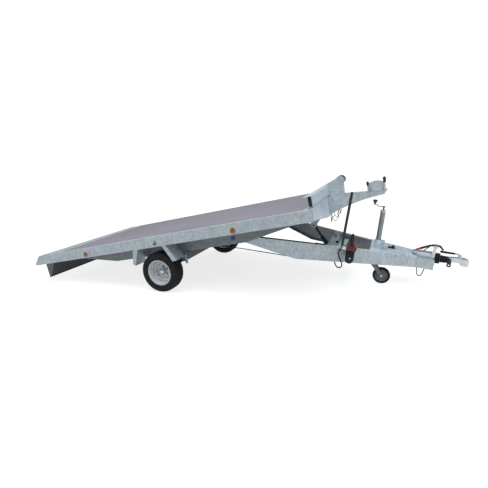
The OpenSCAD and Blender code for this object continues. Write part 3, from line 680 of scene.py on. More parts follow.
class TRAILER_OT_metalwork(bpy.types.Operator):
    """Give the frame, the drawbar and the other CAD pieces their finishes, with darker copies of
    the galvanised steel that paint the shade under the deck and on the far arm, and a lighter copy
    that paints the light on the front plates
    """
    bl_idname = "trailer.metalwork"
    bl_label = "Metalwork"

    def execute(self, context):
        slots = {s["node"]: s["material_slot"] for s in frame["record"]["subparts"]}
        for name in NODES:
            dress(slots[name], name)
        # Painted shade: the beams and cross members under the deck get a darker copy.
        dress("galvanised_web", "main_beam_right", "main_beam_left", "cross_members")
        # Painted shade: the far drawbar arm gets the less dark copy.
        dress("galvanised_inner", "drawbar_arm_left")
        # Painted shade: the rear panel, the axle and the swing arms get the darkest copy.
        dress("galvanised_dull", "rear_panel", "axle_tube", "swing_arm_right", "swing_arm_left")
        # Painted light: the front plates get the lighter copy for the light on their tops and
        # fronts.
        dress("galvanised_bright", "jockey_plate", "front_stop", "front_crossbeam",
              "drawbar_crossmember")
        dress("dull_zinc", "jockey_outer_tube", "safety_loop")
        dress("worn_zinc", "jockey_inner_tube")
        return {"FINISHED"}


# Wheels

TYRE_MID = 962.5
TREAD_R = 258
RIB_WIDTH = 8
RIM_FACE = 934
BOLT_CIRCLE = 56


def mirrored(half):
    """An outline's half and the same again below, from the last point back to the first."""
    return half + [(radius, -height) for radius, height in reversed(half)]


def tread_tyre(bm):
    """A tyre with ribs of blocks, a shoulder and rings on its wall."""
    half = [(157.4, 67), (157.4, 80), (160, 82), (170.6, 82), (173, 84.5), (179, 88), (182, 91.5),
            (186, 92.8), (188.5, 95.5), (198, 97.4), (205, 97.8), (213, 98.1), (216, 99),
            (221, 99), (224, 97.8), (233, 97), (243, 93.2), (247, 91.6), (252.4, 86.5),
            (256.6, 79.5), (258.6, 71.5), (252.5, 69.5), (252.5, 61.5), (260, 59.5),
            (260.8, 46), (254, 43), (254, 35), (261.6, 32), (262.2, 13), (255, 10),
            (255, 3), (262.3, 0)]
    outline = half + [(r, -h) for r, h in reversed(half[:-1])]
    inner = [(182, -74), (218, -82), (240, -60), (246, -30), (247, 0), (246, 30), (240, 60),
             (218, 82), (182, 74)]
    verts = turned(bm, outline + inner + [half[0]], (0, -TYRE_MID, 0), OUT, 72)
    blocks = []
    for face in faces_of(verts):
        heights = [abs(v.co.y + TYRE_MID) for v in face.verts]
        low = min(hypot(v.co.x, v.co.z) for v in face.verts)
        if low > TREAD_R and max(heights) - min(heights) > RIB_WIDTH:
            blocks.append(face)
    bmesh.ops.inset_individual(bm, faces=blocks, thickness=1.4, depth=3.0, use_even_offset=True)


def wheel_bolts(bm):
    """Five wheel bolts with their cone seats."""
    for i in range(5):
        angle = radians(90 + 72 * i)
        x, z = BOLT_CIRCLE * cos(angle), BOLT_CIRCLE * sin(angle)
        round_bar(bm, (x, -RIM_FACE, z), OUT, 13, 3, 20, top=11)
        softened(bm, round_bar(bm, (x, -RIM_FACE - 3, z), OUT, 9.6, 13, 6), 1.2, 2)


def hub_cap(bm):
    """The pressed cap over the middle of the hub."""
    turned(bm, [(0, 60), (27, 59.4), (33.4, 47.5), (33.4, 0), (41, 0), (41, 3), (37, 5),
                (36.6, 40), (35, 50), (30, 59), (22, 64), (12, 66), (0, 66.5)],
           (0, -RIM_FACE, 0), OUT, 40)


def tyre_valve(bm):
    turned(bm, [(0, 0), (7, 0), (7, 10), (5, 14), (4, 30), (4.6, 31), (4.6, 38), (3.6, 40),
                (0, 40)], (136, -981, 42), (-0.25, -1, -0.08), 20)


class TRAILER_OT_wheels(bpy.types.Operator):
    """Make the tyres with their tread, the wheel bolts and the valves"""
    bl_idname = "trailer.wheels"
    bl_label = "Wheels"

    def execute(self, context):
        bodies = ("road_wheel_right", "road_wheel_left")
        place = DECK @ at(0, 0, WHEEL_R)
        tyres = pair("tread_tyre", tread_tyre, bodies, "tyre", place, smooth=28)
        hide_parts("tyre_right")
        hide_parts("tyre_left")
        fitted(bodies, place, (wheel_bolts, "dull_zinc", "bright_zinc"),
               (hub_cap, "bright_zinc"), (tyre_valve, "cable_black", "tyre"), twice=True)
        return {"FINISHED"}


# Deck fittings

REFLECTORS = (("rear", -1117), ("front", 1158))
REFLECTOR_Z = 652
LASHING = Vector((61, -HALF_WIDTH, 651))


def reflector_lens(bm, s):
    turned(bm, [(0, 0), (35, 0), (35, 3), (32, 4), (31, 8), (26, 9.8), (11, 10.4), (10, 8),
                (0, 8)],
           (s, -HALF_WIDTH, REFLECTOR_Z), OUT, 40)


def reflector_screw(bm, s):
    turned(bm, [(0, 0), (8.4, 0), (8.4, 1.5), (6, 4), (0, 4.6)],
           (s, -HALF_WIDTH - 8, REFLECTOR_Z), OUT, 24)


def lashing_ring(bm):
    """A pressed cup in the rail with a ring that folds into it."""
    turned(bm, [(36, 0), (36, 2.5), (33, 4), (29.6, 2.6), (29, 0.4), (36, 0)], LASHING, OUT, 40)
    ring(bm, LASHING + Vector((0, -6, -3)), (0, -1, 0.12), 20, 4)
    block(bm, LASHING + Vector((-11, -8, 13)), LASHING + Vector((11, 0, 24)), 2)


def lashing_cup(bm):
    turned(bm, [(0, 0), (29.5, 0), (29.5, 0.8), (0, 0.8)], LASHING, OUT, 36)


def board_screws(bm):
    """Rows of screws that hold the floor board to the cross members."""
    for s in (-1675, -1205, -735, -265, 215, 625, 1035, 1445, 1805, 1960):
        for i in range(9):
            round_bar(bm, (s, -980 + 245 * i, 736), UP, 6.5, 0.6, 12, top=5.6)


class TRAILER_OT_deck_fittings(bpy.types.Operator):
    """Make the side reflectors, the lashing rings and the screws of the floor board"""
    bl_idname = "trailer.deck_fittings"
    bl_label = "Deck fittings"

    def execute(self, context):
        for end, s in REFLECTORS:
            lenses = pair(f"reflector_lens_{end}", lambda bm: reflector_lens(bm, s), "deck",
                          "orange_lens", DECK)
            pair(f"reflector_screw_{end}", lambda bm: reflector_screw(bm, s), "deck",
                 "black_plastic", DECK)
        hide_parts("side_reflectors")
        fitted("deck", DECK, (lashing_ring, "bright_zinc"), (lashing_cup, "black_paint"),
               twice=True)
        fitted("deck", DECK, (board_screws, "dull_zinc", "bright_zinc"))
        return {"FINISHED"}


PANEL_S = -1930
LAMP_LOW = 470


def lamp_base(bm):
    """The lamp's black base, a box with rounded edges."""
    block(bm, (PANEL_S - 12, -1014, LAMP_LOW), (PANEL_S, -786, LAMP_LOW + 110), 4)


def lamp_red(bm):
    """The two red fields, the outer one with four ribs."""
    for start, end in ((-1009, -942), (-857, -791)):
        block(bm, (PANEL_S - 32, start, LAMP_LOW + 5), (PANEL_S - 10, end, LAMP_LOW + 105), 5)
    for z in range(LAMP_LOW + 20, LAMP_LOW + 90, 23):
        block(bm, (PANEL_S - 33, -1003, z), (PANEL_S - 31, -948, z + 2), 0.5)


def lamp_amber(bm):
    block(bm, (PANEL_S - 31, -940, LAMP_LOW + 5), (PANEL_S - 10, -859, LAMP_LOW + 105), 5)


def stop_plug(bm):
    """The ribbed rubber plug in an end of the front stop."""
    block(bm, (2061.2, -1028, 763.2), (2100.8, -1016, 869.8), 3)
    for i in range(5):
        block(bm, (2066, -1030, 776 + i * 19), (2096, -1027, 782 + i * 19), 1)


def winch_caps(bm):
    for rear, front, high, rise in ((-111, -85, 80, 36), (81, 115, 94, 56)):
        block(bm, (rear, -39, high), (front, 39, high + rise), 7)
        block(bm, (rear + 2, -37, high - 10), (front - 2, 37, high + 8), 3)


def winch_bolts(bm):
    for x in (-72, 72):
        for y in (-44, 44):
            bolt(bm, (x, y, 8), UP, 9)


def winch_welds(bm):
    for y in (-5, 5):
        weld(bm, (-90, y, 9), (90, y, 9), 3.4)
    for x in (-104, -91.5, 91.5, 104):
        weld(bm, (x, -34, 9), (x, 34, 9), 3)


def brace_edge(bm):
    """The rubber edging round the brace's head."""
    head = (2280, 918)
    plate(bm, arc(head, 54.5, -32, 142, 24) + arc(head, 49, 142, -32, 24), -41, 82, bevel=1.5)


def boom_welds(bm):
    for y in (-51, 51):
        weld(bm, (2081, y, 512), (2081, y, 734), 3.6)
        weld(bm, (2106, y * 38 / 51, 742), (2290, y * 38 / 51, 742), 3)
    for y in (-940, -860, -340, -260, 260, 340, 860, 940):
        weld(bm, (2079, y, 738), (2079, y, 758), 3)
        weld(bm, (2022, y, 738), (2078, y, 738), 3)


def frame_welds(bm):
    """Beads between the rails, the rear panel, the crossbeam and the feet of the deck."""
    for y in (-1064, -1023):
        weld(bm, (2081, y, 612), (2081, y, 732), 3)
    weld(bm, (-1927, -1020, 612), (-1927, -1020, 726), 3)
    for s in (-1700, -1230, -760, -290, 190, 600, 1010, 1420, 1780):
        weld(bm, (s, -851, 662), (s, -851, 714), 3)
        weld(bm, (s + 1, -1060, 662), (s + 1, -1060, 714), 3)


def pivot_nut(bm):
    """The painted head of a pivot bolt over its washer."""
    round_bar(bm, (PIVOT_S, -859, PIVOT_Z), OUT, 27, 2.4, 40, bevel=0.6)
    softened(bm, round_bar(bm, (PIVOT_S, -861, PIVOT_Z), OUT, 22.6, 14.5, 6), 1.6, 2)


def axle_bolts(bm):
    for s in (160, 270):
        bolt(bm, (s, -825, 440), DOWN, 11)
        bolt(bm, (s, -778, 413.5), UP, 9, washer=False)
    for z in (328, 382):
        bolt(bm, (322, -860, z), OUT, 7)


def backplate_bolts(bm):
    """Four bolts and two plugs in the brake's backplate."""
    for angle in (45, 135, 225, 315):
        x, z = arc((0, WHEEL_R), 52, angle, angle, 1)[0]
        bolt(bm, (x, -850, z), IN, 7)
    for angle in (200, 260):
        x, z = arc((0, WHEEL_R), 96, angle, angle, 1)[0]
        round_bar(bm, (x, -850, z), IN, 9, 4, 20, bevel=1)


def mudguard_bolts(bm):
    for s, lean in ((-288, -24), (259, 27)):
        for y in (-1030, -885):
            bolt(bm, (s - 4 * sin(radians(lean)), y, 506), (copysign(0.9, s), 0, 0.42), 7)


def lock_pin(bm, top, links, long):
    """A locking pin that hangs on a short chain under the boom."""
    down = Vector((-0.17, 0, -0.985))
    spot = Vector(top)
    for i in range(links):
        across = (0, 1, 0) if i % 2 else (1, 0, -0.17)
        ring(bm, spot + down * 5, across, 6, 2.2, 14, 6)
        spot = spot + down * 8.4
    ring(bm, spot + down * 12, (0.3, 1, 0), 13, 3.8, 24, 8)
    round_bar(bm, spot + down * 22, down, 7.5, long, 16, bevel=1.2)
    round_bar(bm, spot + down * 21, down, 9, 6, 16, bevel=1)


def lock_pins(bm):
    lock_pin(bm, (2092, -12, 512), 3, 58)
    lock_pin(bm, (2182, 8, 552), 5, 44)
    ring(bm, (2130, -8, 500), (1, 0.2, 0), 24, 3.6, 32, 8)
    ring(bm, (2124, -8, 447), (0.2, 1, 0), 30, 4, 32, 8)
    lock_pin(bm, (2214, -6, 566), 2, 30)


def ram_top_bolts(bm):
    for side in (-1, 1):
        bolt(bm, (RAM_PIN_S, side * 44, RAM_PIN_Z), (0, side, 0), 15)


def rail_fold_highlight(bm):
    """The rounded folds along the tops of a side rail and of the front crossbeam, in a lighter
    tone that paints the highlight along them.
    """
    pipe(bm, [(s, 2.4 - HALF_WIDTH, 737.6) for s in (-2014, 2080)], 3)
    pipe(bm, [(2083, -1060, 739), (2083, 0, 739)], 7)


def stop_gap_painted_shadow(bm):
    """A dark strip between the front stop and the crossbeam's fold, which paints the shadow in the
    gap.
    """
    pipe(bm, [(2083, -1040, 753), (2083, 0, 753)], 7)


class TRAILER_OT_deck_hardware(bpy.types.Operator):
    """Make the tail lamps, the plugs, the winch bracket's parts, the folds with their painted
    highlight, the dark strip that paints the shadow under the front stop, bolts and welds
    """
    bl_idname = "trailer.deck_hardware"
    bl_label = "Deck hardware"

    def execute(self, context):
        fitted("deck", DECK, (lamp_base, "black_plastic", None, "tail_lamps"),
               (lamp_red, "red_lens"), (lamp_amber, "orange_lens"),
               (stop_plug, "black_plastic", None, "rubber_caps"), twice=True)
        fitted("deck", BOOM, (winch_caps, "black_plastic"),
               (winch_bolts, "dull_zinc", "bright_zinc"), (winch_welds, "weld", "galvanised"))
        fitted("deck", DECK, (brace_edge, "black_plastic"), (boom_welds, "weld", "galvanised"),
               (lock_pins, "pin_brown", "bright_zinc"),
               (ram_top_bolts, "dull_zinc", "bright_zinc"))
        fitted("deck", DECK, (frame_welds, "weld", "galvanised"),
               (pivot_nut, "blue_paint", "bright_zinc"),
               (axle_bolts, "dull_zinc", "bright_zinc"),
               (mudguard_bolts, "dull_zinc", "bright_zinc"),
               # Painted highlight: the folds get the lighter copy.
               (rail_fold_highlight, "galvanised_edge", "galvanised"),
               # Painted shadow: a dark strip fills the gap under the front stop.
               (stop_gap_painted_shadow, "galvanised_dull", "galvanised"), twice=True)
        fitted(("suspension_right", "suspension_left"), DECK,
               (backplate_bolts, "dull_zinc", "bright_zinc"), twice=True)
        return {"FINISHED"}


# Pump, drawbar and coupling, in the drawbar's own frame

TANK = (1345, -128)
CLEVIS_U, CLEVIS_W = 1239, 6
LEVER_Y = -445
LEVER_LEAN = radians(2.4)
ROD_Y = -450


def pump_tank(bm):
    """The oil tank with its bolted end cover."""
    plate(bm, arc(TANK, 48, 180, 360, 18) + [(1393, -29), (1297, -29)], -497, 96, bevel=5)
    plate(bm, arc(TANK, 40, 180, 360, 18) + [(1385, -40), (1305, -40)], -501, 6, bevel=1.5)
    for u in (1313, 1377):
        for w in (-52, -132):
            round_bar(bm, (u, -500, w), OUT, 5, 3.5, 6)
    round_bar(bm, (1330, -440, -174), DOWN, 9, 8, 6)


def pump_tank_plug(bm):
    turned(bm, [(0, 0), (10, 0), (10, 3), (7.5, 4), (7.5, 9), (6, 10), (0, 10)],
           (1352, -501, -108), OUT, 6)


def pump_valve_block(bm):
    """The valve block with the bosses of its valves."""
    block(bm, (1293, -485, -30), (1405, -401, 28), 3.5)
    for u, w in ((1318, 2), (1352, -8), (1384, 6)):
        turned(bm, [(0, 0), (13, 0), (13, 3), (10, 5), (10, 11), (0, 12)],
               (u, -485, w), OUT, 6)
    round_bar(bm, (1405, -452, 0), AHEAD, 12, 9, 6)


def pump_valve_wheel(bm):
    """The red wheel that lets the deck down."""
    turned(bm, [(0, 16), (20, 15), (24, 17), (27, 20), (27, 27), (24, 30), (12, 31), (10, 34),
                (0, 34)], (1402, -440, 26), UP, 36)


def pump_valve_stem(bm):
    round_bar(bm, (1402, -440, 26), UP, 6, 18, 16)
    round_bar(bm, (1402, -440, 27), UP, 10, 6, 6)


def pump_cylinder(bm):
    """The upright cylinder beside the lever."""
    turned(bm, [(0, 24), (25, 24), (25, 34), (20.6, 36), (20, 42), (20, 132), (22, 134), (22, 146),
                (20, 148), (18.5, 158), (13, 170), (11, 177), (9, 178.5), (0, 178.5)],
           (1347, -443, 0), UP, 36)


def pump_clevis(bm):
    """Two bright cheeks that hold the lever's pin."""
    for y in (-475, -427):
        plate(bm, arc((CLEVIS_U, CLEVIS_W), 17.5, 90, 270, 12)
              + [(1264, -20), (1297, -20), (1297, 24), (1264, 24)], y, 12, bevel=1.5)


def pump_clevis_pin(bm):
    round_bar(bm, (CLEVIS_U, -482, CLEVIS_W), IN, 7, 74, 20, bevel=0.8)
    round_bar(bm, (CLEVIS_U, -482, CLEVIS_W), IN, 11, 5, 24, bevel=1)
    ring(bm, (CLEVIS_U, -412, CLEVIS_W), IN, 8.5, 1.4, 20, 6)


def pump_stays(bm):
    for u in (1301, 1381):
        block(bm, (u, -403, -100), (u + 8, -arm_face(u + 8) - 0.3, -40), 1)
        weld(bm, (u + 4, -arm_face(u) - 2, -98), (u + 4, -arm_face(u) - 2, -42), 4.5)


def pump_lever_grip(bm):
    """Rubber sleeve over the lever with a ribbed grip, in the lever's own frame."""
    outline = [(13.2, 40), (15.4, 40), (15.8, 42), (15.8, 500), (16.4, 504)]
    for i in range(16):
        outline += [(r, h + i * 8.6) for r, h in ((16.4, 508), (15.4, 510), (15.4, 513),
                                                  (16.4, 515))]
    outline += [(16.4, 648), (14, 653), (8, 655), (0, 655.5)]
    turned(bm, outline, (0, 0, 0), UP, 28)


HOSE_ROUTE = ((1279, -404, -18), (1246, -406, -27), (1221, -411, -50), (1210, -418, -80),
              (1213, -423, -113), (1228, -424, -145), (1243, -422, -175), (1261, -419, -207),
              (1265, -413, -241), (1254, -402, -267), (1233, -388, -282), (1207, -369, -281),
              (1184, -346, -264), (1169, -319, -249), (1157, -288, -241), (1148, -255, -237),
              (1141, -221, -234), (1136, -188, -231), (1132, -154, -228), (1129, -120, -226),
              (1128, -86, -225))
HOSE_R = 7.3


class TRAILER_OT_hose(bpy.types.Operator):
    """Make the hydraulic hose from the pump to the foot of the ram"""
    bl_idname = "trailer.hose"
    bl_label = "Hydraulic hose"

    def execute(self, context):
        route = [BAR @ Vector(point) for point in HOSE_ROUTE]
        curve, line = smooth_run("hydraulic_hose_run", route, HOSE_R * MM)
        curve.materials.append(finish("hose_rubber"))
        hose = linked("hydraulic_hose_run", curve)
        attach(hose, "drawbar")
        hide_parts("hydraulic_hose")
        return {"FINISHED"}


def hose_ends(bm):
    """Crimped ferrules with their nuts."""
    ferrule = [(7.4, 0), (12, 0), (12, 9), (10.2, 10), (10.2, 14), (9.6, 15), (10.4, 17),
               (9.6, 19), (10.4, 21), (9.6, 23), (10.2, 26), (7.4, 26), (7.4, 0)]
    turned(bm, ferrule, (1281, -404, -17.6), (-1, -0.05, -0.25), 24)
    turned(bm, ferrule, (1128, -86, -225), (0.02, -1, -0.02), 24)
    round_bar(bm, (1293, -404, -18), (-1, 0, 0), 13, 9, 6)


def lug_bolts(bm):
    """Dark bolts in the two locking lugs."""
    bolt(bm, (1139, -72, -46), OUT, 15)
    turned(bm, [(11.5, 0), (21, 0), (21, 2), (19, 3.5), (11.5, 3.5), (11.5, 0)],
           (1108, -72, 34), OUT, 36)


def ram_gland(bm):
    """The gland nut and wiper at the top of the barrel, in the ram's own frame."""
    turned(bm, [(18.4, 236), (29.6, 236), (32, 238), (32, 246), (30, 249), (30, 254), (27, 257),
                (21, 258), (18.4, 258), (18.4, 236)], (0, 0, 0), UP, 40)
    turned(bm, [(29.2, 20), (31, 20), (31, 30), (29.2, 30), (29.2, 20)], (0, 0, 0), UP, 40)
    round_bar(bm, (0, -28, 40), OUT, 10, 14, 6)


def arm_conduit(bm):
    """The black pipe that lies on the near arm, with two rubber grommets."""
    points = [(u, -(arm_face(u) - 14), arm_top(u) + 7.3) for u in range(50, 931, 110)]
    points += [(985, -446, -2), (1040, -412, -18), (1090, -372, -52), (1128, -340, -84),
               (1162, -322, -83), (1190, -314, -83)]
    pipe(bm, points, 7)
    for u, y, w, lean in ((943, -466, -4, -0.1), (1028, -420, -14, -0.35)):
        turned(bm, [(7.2, -13), (12, -13), (14, -9), (14, 9), (12, 13), (7.2, 13), (7.2, -13)],
               (u, y, w), (1, 0.45, lean), 24)


def conduit_clips(bm):
    for u in (180, 420, 660, 860):
        y = -(arm_face(u) - 14)
        plate(bm, arc((0, 7), 8.6, 0, 180, 10) + arc((0, 7), 7.1, 180, 0, 10), -7, 14,
              at(u, y, arm_top(u)) @ turn(radians(73), "Z"))
        round_bar(bm, (u - 4, y + 14, arm_top(u)), UP, 6, 4, 6)


def brake_rod(bm):
    """The brake rod from the axle to the nose, between the drawbar's arms."""
    rear = [(312, 477), (420, 448), (640, 388), (860, 329)]
    front = [(-60, -450, -239), (160, -450, -236), (380, -450, -231), (594, -450, -227),
             (900, -385, -217), (1150, -330, -207), (1260, -300, -202), (1400, -268, -172),
             (1600, -228, -160), (1750, -196, -150), (1900, -150, -140), (2086, -60, -122)]
    points = [(DECK @ Vector((s, ROD_Y, z))) / MM for s, z in rear]
    pipe(bm, points + [(BAR @ Vector(point)) / MM for point in front], 5.5)


def rod_bracket(bm):
    """The plate on the axle that holds the rod's rear end, with its two nuts."""
    plate(bm, [(300, 413), (312, 413), (312, 488), (308, 493), (300, 493)], -464, 28, bevel=1.5)
    for s in (300, 312):
        round_bar(bm, (s, ROD_Y, 477), (1 if s > 300 else -1, 0, 0), 10, 9, 6)


def arm_fold_highlight(bm):
    """The rounded fold along the top of a drawbar arm, in a lighter tone that paints the highlight
    along it.
    """
    for stretch in ((70, 700, 1280), (1420, 1800, 2088)):
        pipe(bm, [(u, 2.4 - arm_face(u), arm_top(u) - 2.4) for u in stretch], 3.2)


class TRAILER_OT_pump(bpy.types.Operator):
    """Make the pump, the ram's gland, and the pipe, folds with their painted highlight and brake
    rod of the drawbar
    """
    bl_idname = "trailer.pump"
    bl_label = "Pump and ram"

    def execute(self, context):
        fitted("drawbar", BAR, (pump_tank, "black_paint", None, "pump"),
               (pump_tank_plug, "bright_zinc"), (pump_valve_block, "valve_red", "black_paint"),
               (pump_valve_wheel, "red_plastic", "red_lens"), (pump_valve_stem, "bright_zinc"),
               (pump_cylinder, "black_paint"), (pump_clevis, "bright_zinc"),
               (pump_clevis_pin, "rod_steel"), (pump_stays, "galvanised"),
               (hose_ends, "bright_zinc"), (arm_conduit, "cable_black", "black_plastic"),
               (conduit_clips, "bright_zinc"))
        fitted("pump_handle", BAR @ at(CLEVIS_U, LEVER_Y, CLEVIS_W) @ turn(LEVER_LEAN),
               (pump_lever_grip, "black_plastic"))
        fitted("drawbar", BAR, (lug_bolts, "rod_steel"),
               # Painted highlight: the arm's fold gets the lighter copy.
               (arm_fold_highlight, "galvanised_edge", "galvanised"), twice=True)
        fitted("barrel", RAM, (ram_gland, "rod_steel"))
        rod = piece("brake_rod", brake_rod, None, "rod_steel", SCALE)
        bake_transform(rod)
        # Painted shade: the rod's bracket under the deck gets a darker copy.
        fitted("deck", DECK, (rod_bracket, "galvanised_web", "galvanised"))
        return {"FINISHED"}


BELLOWS_FOOT = (2285, 0, -72)
HANDLE_PIN = (2560, -8)
HANDBRAKE_Y = -84


def bellows_folds(bm):
    """Rubber bellows with four wide folds and five narrow ones."""
    outline = [(25.2, 1), (57, 1)]
    wide = ((60, 2), (66, 4), (69, 7), (69, 9), (66, 12), (59, 15))
    for i in range(4):
        outline += [(r - i, h + 16 * i) for r, h in wide]
    outline += [(52, 65), (43, 68), (40, 72)]
    for i in range(5):
        base = 72 + 15.6 * i
        outline += [(40 - 0.4 * i, base + 1), (44.5 - i, base + 4), (47 - i, base + 7),
                    (47 - i, base + 8.6), (44 - i, base + 11.6), (39.5 - 0.4 * i, base + 14.6)]
    outline += [(37.5, 152), (37, 154), (25.2, 154), (25.2, 1)]
    turned(bm, outline, BELLOWS_FOOT, AHEAD, 56)


def bellows_clamp(bm):
    turned(bm, [(38, 150.5), (40.6, 150.5), (40.6, 156), (38, 156), (38, 150.5)],
           BELLOWS_FOOT, AHEAD, 48)
    block(bm, (2436, -6, -32), (2440, 6, -24), 1)


def cable_eye(bm):
    """The black eye under the head that guides the breakaway cable."""
    ring(bm, (2452, -40, -126), IN, 17, 9, 36, 12)
    plate(bm, [(2430, -44), (2458, -44), (2472, -80), (2474, -112), (2431, -112), (2428, -80)],
          -47, 14, bevel=3)


def handle_grip(bm):
    plate(bm, [(2340, 6), (2336, 13), (2338, 21), (2350, 27.5), (2420, 26.5), (2496, 24.5),
               (2500, 20), (2500, 9), (2496, 5.5), (2430, 3.5), (2360, 3)], -15, 30, bevel=5)
    for i in range(6):
        block(bm, (2380 + i * 14, -15.8, 8), (2386 + i * 14, 15.8, 22), 1)


def handle_lever(bm):
    """The zinc part of the coupling's handle with its hub."""
    plate(bm, [(2488, 9), (2488, 21), (2545, 19), (2553, 2), (2552, -16), (2520, 2.5)],
          -12, 24, bevel=2)
    turned(bm, [(5.1, -16), (13, -16), (14, -15), (14, 15), (13, 16), (5.1, 16), (5.1, -16)],
           (HANDLE_PIN[0], 0, HANDLE_PIN[1]), IN, 32)


def head_bolts(bm):
    """The bolts that join the head to its shaft, the pin's heads and grease nipples."""
    for side in (-1, 1):
        bolt(bm, (2476, side * 34.5, -62), (0, side, 0), 10)
        round_bar(bm, (HANDLE_PIN[0], side * 22.8, HANDLE_PIN[1]), (0, side, 0), 8.5, 4, 24,
                  bevel=1)
    for u in (2115, 2236):
        turned(bm, [(0, 0), (6, 0), (6, 5), (3.2, 6), (3.2, 10), (4.2, 12), (3, 15), (0, 16)],
               (u, 0, -12), UP, 16)
    for u in (2078, 2262):
        for side in (-1, 1):
            bolt(bm, (u, side * 34, -12), UP, 8)


def nose_welds(bm):
    """Beads where the arms meet the nose and along the safety loop's roots."""
    for side in (-1, 1):
        weld(bm, (2091, side * 131.5, -188), (2091, side * 131.5, -52), 4)
        weld(bm, (2092, side * 53, -75), (2283, side * 53, -75), 3.4)
    for u in (2110, 2216):
        ring(bm, (u, 0, -192), UP, 9, 3, 20, 6)


def brake_web(bm):
    """The zinc web of the handbrake lever."""
    plate(bm, arc((2262, -30), 18, 180, 360, 16)
          + [(2282, 50), (2300, 82), (2306, 97), (2242, 100), (2238, 84), (2250, 60)],
          -88.5, 9, bevel=1.2)


def brake_arch(bm):
    """The black arm of the lever, from the grip's end over to the release."""
    plate(bm, [(2206, 97), (2213, 81), (2236, 84), (2252, 92), (2296, 91), (2316, 82),
               (2348, 50), (2362, 58), (2358, 68), (2324, 106), (2300, 112), (2236, 110)],
          -91, 14, bevel=3)


def brake_strip(bm):
    plate(bm, [(2247, 107), (2249, 114), (2307, 115), (2312, 108)], -92, 16, bevel=1.5)


def brake_grip(bm):
    """The moulded grip with its release bar below."""
    turned(bm, [(0, 0), (11, 0), (14, 3), (15, 12), (13, 24), (14.6, 38), (13, 52), (14.6, 66),
                (13, 80), (14.6, 94), (13.6, 108), (12, 117), (8, 120), (0, 120)],
           (2111, HANDBRAKE_Y, 40), (0.899, 0, 0.438), 32)
    pipe(bm, [(u, HANDBRAKE_Y, w) for u, w in ((2150, 20), (2172, 38), (2196, 64), (2216, 90))],
         5.5)


def brake_tip(bm):
    turned(bm, [(0, 0), (12, 0), (12, 7), (10.8, 10), (10.8, 44), (9, 51), (5, 55), (0, 56)],
           (2116, HANDBRAKE_Y, 42), (-0.9135, 0, -0.4067), 28)


class TRAILER_OT_coupling(bpy.types.Operator):
    """Make the bellows, the coupling's handle and fittings and the handbrake lever"""
    bl_idname = "trailer.coupling"
    bl_label = "Coupling and handbrake"

    def execute(self, context):
        fitted("drawbar", BAR, (bellows_folds, "bellows_rubber", None, "bellows"),
               (bellows_clamp, "dull_zinc", "bright_zinc"), (cable_eye, "black_plastic"),
               (head_bolts, "bright_zinc"), (nose_welds, "weld", "galvanised"))
        fitted("coupling_lever", BAR, (handle_grip, "black_plastic", None, "coupling_handle"),
               (handle_lever, "bright_zinc"))
        fitted("handbrake", BAR, (brake_grip, "black_plastic", None, "handbrake_lever"),
               (brake_tip, "red_plastic", "red_lens"), (brake_arch, "black_plastic"),
               (brake_strip, "bright_zinc"), (brake_web, "bright_zinc"))
        return {"FINISHED"}


# Jockey wheel

JOCKEY_U = 1628
JOCKEY_Y = -110
JOCKEY_R = 105
TRAIL_U = JOCKEY_U + 105
TRAIL_W = (JOCKEY_R - PIVOT[1] + TRAIL_U * sin(BAR_PITCH)) / cos(BAR_PITCH)
SPINDLE = (JOCKEY_U, JOCKEY_Y, 0)
KNOB_U = JOCKEY_U - 108
HUB = (TRAIL_U, JOCKEY_Y, TRAIL_W)


def crank_arm(bm):
    """The cranked arm on its spindle."""
    turned(bm, [(0, 430), (10, 430), (10, 476), (15, 477), (15, 489), (12, 493), (0, 493)],
           SPINDLE, UP, 28)
    outline = [(10, 480), (12, 484), (10, 488), (-58, 488), (-80, 504), (-116, 504), (-119, 500),
               (-116, 496), (-84, 496), (-62, 480)]
    plate(bm, [(JOCKEY_U + u, w) for u, w in outline], JOCKEY_Y - 9, 18, bevel=2.4)
    round_bar(bm, (KNOB_U, JOCKEY_Y, 500), UP, 6, 12, 20)


def crank_knob(bm):
    turned(bm, [(0, 508), (8, 508), (10, 510), (11, 514), (15, 522), (22, 534), (27, 542),
                (27.5, 546), (25, 552), (18, 557), (8, 559), (0, 559)],
           (KNOB_U, JOCKEY_Y, 0), UP, 32)


def tube_collar(bm):
    """The pressed collar at the top of the outer tube and the thrust cap."""
    turned(bm, [(30.1, 420), (32.6, 421), (32.6, 438), (31, 442.5), (28, 444), (12, 446),
                (12, 450), (10.3, 450), (10.3, 443), (30.1, 442), (30.1, 420)], SPINDLE, UP, 40)


def clamp_handle(bm):
    """The clamp's screw with its sliding bar, and the pivot of the clamp's jaw."""
    round_bar(bm, (1686, -96, 22), OUT, 8, 58, 20, bevel=1)
    round_bar(bm, (1686, -124, 22), OUT, 13, 10, 6)
    pipe(bm, [(1636, -151, 14), (1660, -151, 18), (1686, -151, 22), (1704, -151, 25)], 5)
    for u, w in ((1634, 13.7), (1706, 25.3)):
        moved(bm, bmesh.ops.create_icosphere(bm, subdivisions=2, radius=7.5)["verts"],
              at(u, -151, w))
    bolt(bm, (1686, -96, -12), IN, 9)


def jockey_wheel_rim(bm):
    """The wheel's moulded centre with ribs between the hub and the rim."""
    half = [(8.2, -24), (19, -24), (21, -21), (22, -10), (56, -8), (62, -14), (66, -20),
            (73, -21), (74, -18)]
    turned(bm, mirrored(half) + [(8.2, -24)], HUB, OUT, 48)
    for i in range(5):
        for y in (-14, 14):
            moved(bm, block(bm, (20, y - 6, -3), (63, y + 6, 3), 1),
                  at(*HUB) @ turn(radians(72 * i + 20)))


def jockey_wheel_tyre(bm):
    half = [(73.5, -20), (78, -24), (86, -25), (94, -23.4), (100, -19), (104, -12.5), (105, -6)]
    turned(bm, mirrored(half) + [(73.5, -20)], HUB, OUT, 56)


